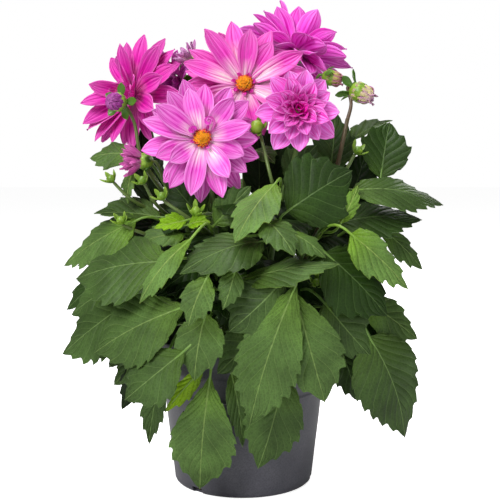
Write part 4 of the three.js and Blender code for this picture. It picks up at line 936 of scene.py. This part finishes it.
# %% Build the shoots
for number, (name, (foot, radius, _, head)) in enumerate(STEMS.items()):
    leaves = Shape("side_mm", "vein_mm", "phase", "along", "tone", "under")
    stems = Shape("tone")
    buds = Shape("along", "across", "tone", "row")
    line = LINES[name]
    radii = 0.85 * radius + (STALK_END - 0.85 * radius) * path_shares(line)
    add_tube(stems, line, radii, 12, tone=0.8 if name == "right" else 0.1)
    for index, row in enumerate(LEAVES[name]):
        add_leaf(leaves, stems, line, row, 100 * number + index)
    if head:
        add_calyx(buds, HEADS[head], {"top_right": 200, "left": 30}.get(head, 0), 7)
    for index, (shoot, centre, axis, r, at, via, tip, tone) in enumerate(BUDS):
        if shoot == name:
            bud = Head(centre, axis)
            end = bud.place([(0, 0, -1.4 * r), (0, 0, -0.8 * r)])
            path = smooth_path([at_height(line, at), *via, *end], 8)
            flush = 0.9 if tip == "right" else 0.25
            add_tube(stems, path, np.linspace(1.5, 1.0, len(path)), 9, tone=flush)
            add_bud(buds, bud, r, tip, tone, 11 * index)
    node = "shoot_" + name
    hand_over(leaves.make("leaves_" + name, leaf_finish), "foliage", node)
    hand_over(stems.make("stems_" + name, stem_finish), "foliage", node)
    if buds.points:
        hand_over(buds.make("buds_" + name, bud_finish), "foliage", node)

# %% [markdown]
# ## Petal finish
# A ray petal is soft and slightly velvety. Its colour is palest where it leaves the core and lighter at
# the edges. It deepens along the grooves that run to the tip and towards the head's middle: partly its
# own deeper colour, partly painted shade in the folds and between the inner petals. Each bloom has its
# own tints, from lilac to hot magenta.

# %% Petal material
def petal_finish(name, base, body, deep_colour_and_painted_shade, edge, base_end=0.3, vein_strength=0.13):
    values = ("along", "across", "tone", "row")
    material, tree, shader, place, along, across, tone, row = new_material(name, *values)
    wide = add(tree, "Math", (across, 4.5), operation="MULTIPLY")
    apart = add(tree, "Math", (tone, 12.0), operation="MULTIPLY")
    stretched = add(tree, "CombineXYZ", (wide, along, apart))
    streak = add(tree, "TexNoise", {"Vector": stretched, "Scale": 1.6, "Detail": 4.0})
    wander = add(tree, "Math", (streak, 3.0), operation="MULTIPLY")
    ridges = add(tree, "Math", (across, 15.0, wander), operation="MULTIPLY_ADD")
    stripes = add(tree, "Math", (ridges,), operation="SINE")
    lines = add(tree, "Math", (stripes, vein_strength, vein_strength), operation="MULTIPLY_ADD")
    deepening = add(tree, "MapRange", (streak, 0.42, 0.66, 0.0, 0.7))
    furrows = add(tree, "Math", (lines, deepening), operation="ADD")
    # Painted shade, with the petal's own deeper colour: the deep colour grows towards the middle rows.
    towards_middle = add(tree, "Math", (1.0, row), operation="SUBTRACT")
    inner = add(tree, "Math", (towards_middle, 2.0), operation="POWER")
    deep_and_painted_shade_share = add(tree, "Math", (inner, 0.95, furrows), operation="MULTIPLY_ADD", use_clamp=True)

    aside = add(tree, "Math", (across,), operation="ABSOLUTE")
    tip_share = add(tree, "MapRange", (along, 0.5, 1.0, 0.0, 0.55))
    rim = add(tree, "Math", (aside, 4.0), operation="POWER")
    rim_share = add(tree, "Math", (rim, 0.6), operation="MULTIPLY")
    edge_share = add(tree, "Math", (tip_share, rim_share), operation="MAXIMUM")

    reach = add(tree, "Math", (tone, 0.35, base_end), operation="MULTIPLY_ADD")
    left_over = add(tree, "Math", (reach, along), operation="SUBTRACT")
    fade = add(tree, "MapRange", (left_over, 0.0, 0.34, 0.0, 1.0))
    flank = add(tree, "Math", (aside, 1.5), operation="POWER")
    centre = add(tree, "Math", (flank, -0.85, 1.0), operation="MULTIPLY_ADD")
    streaked = add(tree, "MapRange", (streak, 0.35, 0.62, 1.15, 0.25))
    faded = add(tree, "Math", (fade, centre), operation="MULTIPLY")
    pale = add(tree, "Math", (faded, streaked), operation="MULTIPLY", use_clamp=True)
    base_share = add(tree, "Math", (pale, row), operation="MULTIPLY")
    # The deep colour is partly painted shade in the furrows and in the head's middle.
    colour = layered(tree, body, (edge_share, edge), (deep_and_painted_shade_share, deep_colour_and_painted_shade), (base_share, base))
    light = add(tree, "MapRange", (tone, 0.0, 1.0, 0.82, 1.1))
    colour = add(tree, "Mix", {0: 1.0, 6: colour, 7: light}, data_type="RGBA", blend_type="MULTIPLY")

    velvet = add(tree, "TexNoise", {"Vector": place, "Scale": 1500.0, "Detail": 2.0})
    nap = add(tree, "Math", (velvet, 0.25), operation="MULTIPLY")
    height = add(tree, "Math", (stripes, 0.5, nap), operation="MULTIPLY_ADD")
    bump = add(tree, "Bump", {"Height": height, "Strength": 0.5, "Distance": 0.0006})
    feed(shader, {"Base Color": colour, "Roughness": 0.58, "Specular IOR Level": 0.06, "Normal": bump})
    return material


# Each finish's third colour is its deep colour, partly painted shade.
PETALS = {
    "front": petal_finish("petal_pink_lilac", "#fdecec", "#f472dc", "#cc10a6", "#f8bcf6", 0.33),
    "middle": petal_finish("petal_hot_pink", "#fdecec", "#fb5cd4", "#d00498", "#ffa8ec", 0.38),
    # The double bloom's deep magenta at the petals' feet is painted shade under its inner petals, with their
    # own deeper colour.
    "double": petal_finish("petal_lilac", "#c81ca8", "#fb88f6", "#e410ac", "#fcc8fc", 0.14, 0.08),
    "top_right": petal_finish("petal_magenta_lilac", "#fcb4ec", "#fc60ea", "#d400a8", "#ffb4fa", 0.2),
    "left": petal_finish("petal_hot_magenta", "#fca4dc", "#ea30ba", "#b8008c", "#f898e0", 0.2),
    "small": petal_finish("petal_dark_pink", "#e8a0d8", "#d850c4", "#a01890", "#ec98e4", 0.2),
}
print(len(PETALS), "petal finishes")

# %% [markdown]
# ## Open blooms
# The two front blooms face the viewer, and each of their petals is placed by its turn and its reach. The
# blooms at the left and the top right are seen from the side, so theirs are placed by turn, length and
# tilt. The small one's petals stand in even rows with a little play. A few curled petals fill the rim of
# the front discs.

# %% Ray petals of the open blooms
START = 5.5
FRONT = [
    [(20, 40), (62, 44), (108, 45), (150, 42), (190, 46), (228, 42), (268, 46), (306, 46), (342, 43)],
    [(39, 43), (87, 39), (126, 42), (163, 45), (202, 36), (236, 43), (289, 45), (323, 40), (359, 40)],
    [(14, 36), (52, 36), (105, 36), (145, 40), (217, 29), (259, 42), (304, 35), (338, 32)],
]
MIDDLE = [
    [(40, 46), (82, 44), (115, 46), (165, 46), (205, 44), (245, 44), (285, 42), (325, 43), (358, 46)],
    [(12, 48), (64, 47), (101, 50), (148, 49), (182, 46), (218, 44), (254, 44), (290, 42), (325, 43)],
    [(27, 49), (56, 37), (84, 40), (127, 49), (163, 47), (205, 44), (245, 43), (285, 42), (330, 44)],
]

LEFT = [
    (92, 36, 25), (68, 34, 62), (80, 42, 5), (74, 46, -15), (60, 43, -25), (44, 42, -30), (14, 40, 22),
    (168, 32, 72), (208, 38, 64), (232, 42, 50), (252, 44, 35), (272, 40, 28), (284, 41, 12),
    (340, 42, 20), (104, 38, 8), (120, 30, 30), (240, 42, 40), (130, 31, 4), (190, 31, 46), (222, 38, 30),
    (242, 40, 14), (262, 36, 0), (302, 38, -4), (320, 36, 6), (0, 38, -8), (28, 40, -4), (54, 40, 4),
    (200, 36, 16), (352, 30, 48), (308, 28, 44), (20, 28, 50),
]
TOP_RIGHT = [
    (48, 44, 68), (350, 46, 78), (36, 46, 20), (224, 38, 58), (208, 38, 35), (196, 39, 10), (212, 43, 4),
    (176, 40, -20), (162, 38, -32), (150, 38, -18), (44, 43, 40), (60, 36, 18), (108, 38, -16),
    (290, 38, 40), (252, 38, 34), (322, 38, 46), (8, 38, 50), (20, 38, 20), (128, 36, -34), (138, 32, 14),
    (88, 34, 4), (166, 34, 6), (76, 36, 44), (186, 34, 44), (104, 34, 76), (148, 36, 66), (60, 38, 40),
    (236, 38, 10), (272, 38, 12), (306, 38, 14), (340, 38, 18), (256, 34, -16), (290, 34, -16),
    (326, 34, -14), (30, 34, -6),
]
print(len(LEFT) + len(TOP_RIGHT) + sum(len(row) for row in FRONT + MIDDLE), "petals placed one by one")

# %% [markdown]
# A tilted petal looks shorter from the front, so `read_rows` works out its length from its reach. Each
# bloom becomes one piece, with a small knob as its core.

# %% Build the open blooms
def read_rows(rows, width, first_tilt, curl):
    petals = []
    for level, row in enumerate(rows):
        tilt = first_tilt + 11 * level
        for turn, reach in row:
            length = (reach - START) / math.cos(math.radians(tilt + curl / 2))
            play = 4 * (draw(turn) - 0.5)
            wide = width * min(1, reach / 32)
            petals.append((turn, START, -1.2 + 1.5 * level, length, wide, tilt + play, curl))
    return petals


def free_rows(petals, width, curl):
    rows = []
    for turn, length, tilt in petals:
        start = START * (1 - max(tilt, 0) / 160)
        wide = width * (0.6 + length / 95)
        rows.append((turn, start, tilt / 25 - 1, length, wide, tilt, curl + 16 * draw(turn)))
    return rows


ROWS = {
    "front": read_rows(FRONT, 15, 0, -12),
    "middle": read_rows(MIDDLE, 15, -2, -10),
    "top_right": free_rows(TOP_RIGHT, 18, -26)
    + even_row(7, 0, 3.6, 2.2, 22, 11, 68, 20, 52)
    + even_row(5, 20, 2.4, 2.4, 15, 8, 80, 60, 57),
    "left": free_rows(LEFT, 14.5, -18) + even_row(6, 0, 4.6, 2.2, 17, 8.6, 66, 26, 62),
    "small": even_row(9, 20, START, -1.2, 24, 9.4, 8, -20, 51)
    + even_row(8, 45, 4.4, 0.6, 21, 7.6, 46, -10, 58)
    + even_row(6, 10, 3, 1.2, 16, 6, 70, 0, 66),
}
CURLED = {
    "front": [
        ((122, 5.8, 3, 16, 3, 26, 10), 480), ((150, 5.8, 3, 13, 2.8, 30, 10), -420),
        ((40, 6.4, 3, 30, 2.6, 24, -6), 560), ((60, 5.8, 3, 9, 2.6, 50, 20), 60),
        ((196, 5.6, 2.6, 6, 2.8, 56, 0), 60), ((300, 5.6, 2.6, 6, 2.6, 56, 0), 60),
    ],
    "middle": [
        ((turn, 5.2, 2.4, 5 + turn % 3, 3, 62, -40), 50) for turn in (12, 60, 118, 164, 212, 268, 310)
    ],
}
CURLED_SIZE = (17, 7, 0.5, 3.0)
CORE = [(0, -2), (4, -2), (4.4, 0), (4.2, 2.4), (0, 2.5)]
for name, petals in ROWS.items():
    bloom = Shape("along", "across", "tone", "row")
    add_knob(bloom, HEADS[name], CORE, 16, tone=0.5)
    for index, petal in enumerate(petals):
        add_petal(bloom, HEADS[name], petal, 60 * len(name) + index, play=1.0)
    for index, (petal, bend) in enumerate(CURLED.get(name, [])):
        add_petal(bloom, HEADS[name], petal, 7 * index, *CURLED_SIZE, row=0.35, bend=bend)
    hand_over(bloom.make("petals_" + name, PETALS[name]), "petals", "bloom_" + name)

# %% [markdown]
# ## Spiral heads
# Sunflowers, dahlias and their kin set each new floret 137.5 degrees from the last, which packs them
# evenly. One node tree does this for any head: points on a spiral, a petal or floret on each, smaller
# and steeper towards the middle. The double bloom and the orange discs come from it with other measures.
# `node_tree` starts a tree with named inputs, and `grow` sets each input by its identifier and makes the
# mesh real.

# %% Helpers for geometry nodes
def node_tree(name, inputs):
    tree = bpy.data.node_groups.new(name, "GeometryNodeTree")
    tree.interface.new_socket("Geometry", in_out="OUTPUT", socket_type="NodeSocketGeometry")
    for key, kind in inputs.items():
        tree.interface.new_socket(key, in_out="INPUT", socket_type="NodeSocket" + kind)
    return tree, add(tree, "NodeGroupInput").outputs, add(tree, "NodeGroupOutput")


def grow(name, tree, finish, sizes):
    piece = place_object(name, bpy.data.meshes.new(name))
    modifier = piece.modifiers.new("grow", "NODES")
    modifier.node_group = tree
    for item in tree.interface.items_tree:
        if item.in_out == "INPUT":
            modifier[item.identifier] = sizes[item.name]
    settle(piece)
    piece.data.materials.clear()
    piece.data.materials.append(finish)
    return piece


# %% [markdown]
# A floret's turn is its number times the golden angle. Its distance from the middle grows with the root
# of its number, which gives every floret the same room.

# %% Spiral node tree
GOLDEN_ANGLE = math.radians(137.508)
spiral, size, result = node_tree("spiral_head", {
    "Count": "Int", "Radius": "Float", "Rise": "Float", "Floret": "Object", "Inner tilt": "Float",
    "Outer tilt": "Float", "Lean play": "Float", "Inner size": "Float", "Seed": "Int", "Turn": "Rotation",
    "Place": "Vector", "Finish": "Material",
})
tree = spiral
cloud = add(tree, "GeometryNodePoints", {"Count": size["Count"]})
index = add(tree, "GeometryNodeInputIndex")
shifted = add(tree, "Math", (index, 0.6), operation="ADD")
share = add(tree, "Math", (shifted, size["Count"]), operation="DIVIDE")
outwards = add(tree, "Math", (share,), operation="SQRT")
distance = add(tree, "Math", (outwards, size["Radius"]), operation="MULTIPLY")
turn = add(tree, "Math", (index, GOLDEN_ANGLE), operation="MULTIPLY")
c = add(tree, "Math", (turn,), operation="COSINE")
s = add(tree, "Math", (turn,), operation="SINE")
x = add(tree, "Math", (distance, c), operation="MULTIPLY")
y = add(tree, "Math", (distance, s), operation="MULTIPLY")
inwards = add(tree, "Math", (1.0, share), operation="SUBTRACT")
z = add(tree, "Math", (inwards, size["Rise"]), operation="MULTIPLY")
spot = add(tree, "CombineXYZ", (x, y, z))
placed = add(tree, "GeometryNodeSetPosition", {"Geometry": cloud, "Position": spot})

random = add(tree, "FunctionNodeRandomValue", {2: 0.0, 3: 1.0, "Seed": size["Seed"]}, data_type="FLOAT")
tilt = add(tree, "Mix", {0: share, 2: size["Inner tilt"], 3: size["Outer tilt"]}, data_type="FLOAT")
lean = add(tree, "Math", (random, size["Lean play"], tilt), operation="MULTIPLY_ADD")
back = add(tree, "Math", (lean, -1.0), operation="MULTIPLY")
angles = add(tree, "CombineXYZ", {"Y": back, "Z": turn})
floret = add(tree, "GeometryNodeObjectInfo", {"Object": size["Floret"]}, transform_space="ORIGINAL")
growth = add(tree, "Math", (share, 0.8), operation="POWER")
scale = add(tree, "Mix", {0: growth, 2: size["Inner size"], 3: 1.0}, data_type="FLOAT")
uneven = add(tree, "MapRange", (random, 0.0, 1.0, 0.86, 1.12))
full = add(tree, "Math", (scale, uneven), operation="MULTIPLY")
grown = add(tree, "GeometryNodeInstanceOnPoints", {
    "Points": placed, "Instance": floret.outputs["Geometry"], "Rotation": angles, "Scale": full,
})
for name, value in (("tone", random), ("row", share)):
    grown = add(
        tree, "GeometryNodeStoreNamedAttribute", {"Geometry": grown, "Name": name, "Value": value},
        data_type="FLOAT", domain="INSTANCE",
    )
real = add(tree, "GeometryNodeRealizeInstances", (grown,))
moved = add(tree, "GeometryNodeTransform", {
    "Geometry": real, "Translation": size["Place"], "Rotation": size["Turn"],
})
finished = add(tree, "GeometryNodeSetMaterial", {"Geometry": moved, "Material": size["Finish"]})
feed(result, (finished,))
print(len(tree.nodes), "nodes in the spiral tree")


# %% [markdown]
# ## Discs
# The middle of an open bloom is a low dome of tiny tube florets, yellow-orange inside and dark red at
# the rim. Each is a small studded cup of a few dozen faces, because there are hundreds. The spiral tree
# sets them out.

# %% Disc florets
disc_finish, tree, shader, place, row, tone = new_material("disc_floret_orange", "row", "tone")
outer = add(tree, "Math", (tone, 0.22, row), operation="MULTIPLY_ADD")
reds = ((0, "#ff9e00"), (0.5, "#ffb400"), (0.85, "#ff8a00"), (1, "#d42c44"))
colour = add(tree, "ValToRGB", (outer,), stops=reds)
pollen = add(tree, "TexNoise", {"Vector": place, "Scale": 2500.0, "Detail": 2.0})
bump = add(tree, "Bump", {"Height": pollen, "Strength": 0.3, "Distance": 0.0002})
feed(shader, {"Base Color": colour, "Roughness": 0.6, "Normal": bump})

FLORET_OUTLINE = [(0, -1), (0.42, -0.9), (0.36, 1), (0.62, 1.8), (0.92, 2.8), (0.3, 2.1), (0, 2)]
ORIGIN = Head((0, 0, 0), (0, 0, 1))


def grow_head(name, model, finish, head_name, foot, sizes):
    head = HEADS[head_name]
    turn = Matrix(head.axes.tolist()).to_euler()
    place = tuple(MM * head.place([foot])[0])
    placing = {"Floret": model, "Finish": finish, "Turn": turn, "Place": place}
    return grow(name, spiral, finish, {**sizes, **placing})


cup = Shape()
add_knob(cup, ORIGIN, FLORET_OUTLINE, 10, 5, 0.34)
floret = cup.make("floret", disc_finish)
for index, name in enumerate(("front", "middle", "top_right", "left")):
    disc = grow_head("florets_" + name, floret, disc_finish, name, (0, 0, 3.2), {
        "Count": 72, "Radius": 5.2 * MM, "Rise": 2.6 * MM, "Inner tilt": 0.1, "Outer tilt": -0.8,
        "Lean play": 0.5, "Inner size": 1.0, "Seed": index,
    })
    hand_over(disc, "disc_florets", "disc_" + name)
bpy.data.objects.remove(floret)

# %% [markdown]
# ## Double bloom
# The bloom on the right is double: it has petals right to its middle, the inner ones short, rolled and
# upright.

# %% Double bloom
HOLLOW = np.array([0, 0, 0.045])
ray = Shape("along", "across")
add_petal(ray, ORIGIN, (0, 0, 0, 29, 16.5, 4, -22), 3, 11, 9, 0.6, 3.0)
ray.points = [point + HOLLOW * point[1] ** 2 for point in ray.points]
model = ray.make("ray_petal", PETALS["double"])
double = grow_head("petals_double", model, PETALS["double"], "double", (-3.5, 0, 0), {
    "Count": 42, "Radius": 5.2 * MM, "Rise": 9 * MM, "Inner tilt": 1.35, "Outer tilt": 0.0,
    "Lean play": 0.45, "Inner size": 0.24, "Seed": 4,
})
hand_over(double, "petals", "bloom_double")
bpy.data.objects.remove(model)

# %% [markdown]
# ## Coloured bud tips
# Three buds are still closed, a tight cone of overlapping petals. Two are opening and show loose narrow
# petals. Each row is given by its count, first turn, distance from the axis, height, length, width, tilt
# and curl.

# %% Bud tips
TIPS = {
    "left": petal_finish("bud_petal_purple", "#c060b0", "#b048a4", "#742468", "#d48ccc", 0.2),
    "right": petal_finish("bud_petal_green_pink", "#c8cc68", "#dcd0a0", "#c07cc0", "#b850c0", 0.62),
    "top_right": petal_finish("bud_petal_pink", "#b0b858", "#c89878", "#a85c84", "#d87cbc", 0.55),
    "top_left": petal_finish("bud_petal_opening_lilac", "#e0d8b8", "#e8a4dc", "#c060b0", "#f4c8f0", 0.4),
    "low_left": petal_finish("bud_petal_opening_pink", "#d89cc0", "#d860b0", "#b03890", "#e890cc", 0.3),
}
OPENING = {"top_left": 12, "low_left": 15}


def tip_rows(tip, r, low):
    if tip in OPENING:
        long = OPENING[tip]
        core = [(0, low), (4.8, low), (4, low + 2), (0, low + 3)]
        rows = [(8, 36, 4.6, low + 0.6, long, 5, 46, 4, r), (7, 0, 3, low + 2.2, long - 1, 4, 64, 6, r + 7)]
        return core, rows + [(5, 20, 1.6, low + 2, long - 4, 3, 80, 10, r + 9)]
    core = [(0, low), (0.9 * r, low), (0.8 * r, low + 0.4 * r), (0.4 * r, low + 0.8 * r), (0, low + r)]
    rows = [(10, 0, 0.9 * r, low + 0.1, 1.25 * r, 0.66 * r, 72, 92, r)]
    if tip != "left":
        rows.append((11, 12, 1.0 * r, -0.42 * r, 1.75 * r, 0.68 * r, 86, 88, r + 20))
        rows.append((4, 40, 0.34 * r, low + 0.62 * r, 0.95 * r, 0.34 * r, 62, 12, r + 31))
    rows.append((9, 20, 0.72 * r, low + 0.35 * r, 1.05 * r, 0.56 * r, 70, 90, r + 5))
    rows.append((7, 5, 0.42 * r, low + 0.62 * r, 0.8 * r, 0.46 * r, 72, 86, r + 9))
    rows.append((4, 30, 0.12 * r, low + 0.8 * r, 0.55 * r, 0.4 * r, 86, 60, r + 13))
    return core, rows


for number, (_, centre, axis, r, _, _, tip, _) in enumerate(BUDS):
    if tip:
        bud = Head(centre, axis)
        coloured = Shape("along", "across", "tone", "row")
        core, rows = tip_rows(tip, r, 0.25 * r + 0.3)
        add_knob(coloured, bud, core, 12 if tip in OPENING else 14, tone=0.5)
        petals = [petal for row in rows for petal in even_row(*row)]
        for index, petal in enumerate(petals):
            add_petal(coloured, bud, petal, 17 * number + index, 9, 7, 0.5, play=1.2)
        hand_over(coloured.make("tip_" + tip, TIPS[tip]), "petals", f"bud_{tip}_tip")

# %% [markdown]
# ## Potting compost
# The compost is peat and fine bark, dark, matt and crumbly. Its surface is a turned mound whose points
# are moved by layered waves, and a node tree scatters bark chips over it with a fixed seed.

# %% Compost
# Peat and composted bark: fibres and crumbs from black-brown to rust, no shine.
compost, tree, shader, place = new_material("peat_bark_compost")
fibres = add(tree, "TexNoise", {"Vector": place, "Scale": 260.0, "Detail": 6.0})
colour = add(tree, "ValToRGB", (fibres,), stops=((0.3, "#1c130d"), (0.72, "#5a4030")))
crumbs = add(tree, "TexNoise", {"Vector": place, "Scale": 420.0, "Detail": 6.0})
bump = add(tree, "Bump", {"Height": crumbs, "Strength": 0.9, "Distance": 0.002})
feed(shader, {"Base Color": colour, "Roughness": 0.95, "Normal": bump})

SURFACE_FROM = 103.8
SURFACE_RADIUS = 65
outline = [(0, 2.3), (51, 2.3), (61, 76), (67.4, 96), (67.8, 102.6), (66.5, 103.6)]
rings = (63, 58, 53, 48, 42, 36, 30, 24, 18, 12, 6)
outline += [(radius, 104 + 3 * (1 - (radius / 66) ** 2)) for radius in rings]
points, faces = turned(outline + [(0, 107)], 72)
points = np.array(points, float)
x, y, z = points.T
surface = (z > SURFACE_FROM) & (np.hypot(x, y) < SURFACE_RADIUS)
lumps = 0.9 * np.sin(0.21 * x + 1.3) * np.sin(0.26 * y)
lumps = lumps + 0.6 * np.sin(0.55 * x + 0.4 * y) + 0.4 * np.sin(0.9 * y - 0.7 * x)
points[:, 2] += np.where(surface, lumps, 0)
soil = Shape()
soil.add(list(points), faces)
ground = soil.make("compost", compost)
hand_over(ground, "soil", "soil")

# %% [markdown]
# Small split chips of bark lie on the mound. Hundreds would be slow to place by hand, so a node tree
# scatters them wherever the ground looks up, each turned and sized from a fixed seed.

# %% Chip scattering tree
FACING_UP = 0.6
tree, size, result = node_tree("chips", {
    "Ground": "Object", "Chip": "Object", "Chips per square metre": "Float", "Smallest": "Float",
    "Largest": "Float", "Seed": "Int", "Finish": "Material",
})
bed = add(tree, "GeometryNodeObjectInfo", {"Object": size["Ground"]}, transform_space="ORIGINAL")
normal = add(tree, "GeometryNodeInputNormal")
height = add(tree, "SeparateXYZ", (normal,)).outputs["Z"]
facing_up = add(
    tree, "FunctionNodeCompare", (height, FACING_UP), data_type="FLOAT", operation="GREATER_THAN"
)
spots = add(tree, "GeometryNodeDistributePointsOnFaces", {
    "Mesh": bed.outputs["Geometry"], "Selection": facing_up, "Density": size["Chips per square metre"],
    "Seed": size["Seed"],
})
shape = add(tree, "GeometryNodeObjectInfo", {"Object": size["Chip"]}, transform_space="ORIGINAL")
turns = {0: (0, 0, 0), 1: (0.7, 0.7, 6.28), "Seed": size["Seed"]}
spin = add(tree, "FunctionNodeRandomValue", turns, data_type="FLOAT_VECTOR")
grades = {2: size["Smallest"], 3: size["Largest"], "Seed": size["Seed"]}
grade = add(tree, "FunctionNodeRandomValue", grades, data_type="FLOAT")
chips = add(tree, "GeometryNodeInstanceOnPoints", {
    "Points": spots, "Instance": shape.outputs["Geometry"], "Rotation": spin, "Scale": grade,
})
real = add(tree, "GeometryNodeRealizeInstances", (chips,))
finished = add(tree, "GeometryNodeSetMaterial", {"Geometry": real, "Material": size["Finish"]})
feed(result, (finished,))
print(len(tree.nodes), "nodes in the chips' tree")

# %% [markdown]
# A chip is a small slab with uneven sides. It is only a model for the tree, so it is removed afterwards.

# %% Chips of bark
# Composted bark: split, fibrous, red-brown.
bark, bark_tree, shader, place = new_material("composted_bark")
fibres = add(bark_tree, "TexNoise", {"Vector": place, "Scale": 90.0, "Detail": 3.0})
colour = add(bark_tree, "ValToRGB", (fibres,), stops=((0, "#2a1b12"), (1, "#8a6244")))
feed(shader, {"Base Color": colour, "Roughness": 0.9})
chip = Shape()
chip.add(
    [(-2.6, -1, -0.5), (2.2, -1.3, -0.4), (2.9, 0.2, -0.5), (0.6, 1.4, -0.4), (-2.2, 1.0, -0.5),
     (-2.3, -0.8, 0.5), (1.9, -1, 0.7), (2.5, 0.2, 0.4), (0.5, 1.1, 0.8), (-1.9, 0.8, 0.4)],
    [(4, 3, 2, 1, 0), (5, 6, 7, 8, 9), (0, 1, 6, 5), (1, 2, 7, 6), (2, 3, 8, 7), (3, 4, 9, 8), (4, 0, 5, 9)],
)
chip_piece = chip.make("chip", bark)
litter = grow("bark_chips", tree, bark, {
    "Ground": ground, "Chip": chip_piece, "Chips per square metre": 9000.0, "Smallest": 0.5, "Largest": 1.3,
    "Seed": 5, "Finish": bark,
})
bpy.data.objects.remove(chip_piece)
hand_over(litter, "soil", "soil")
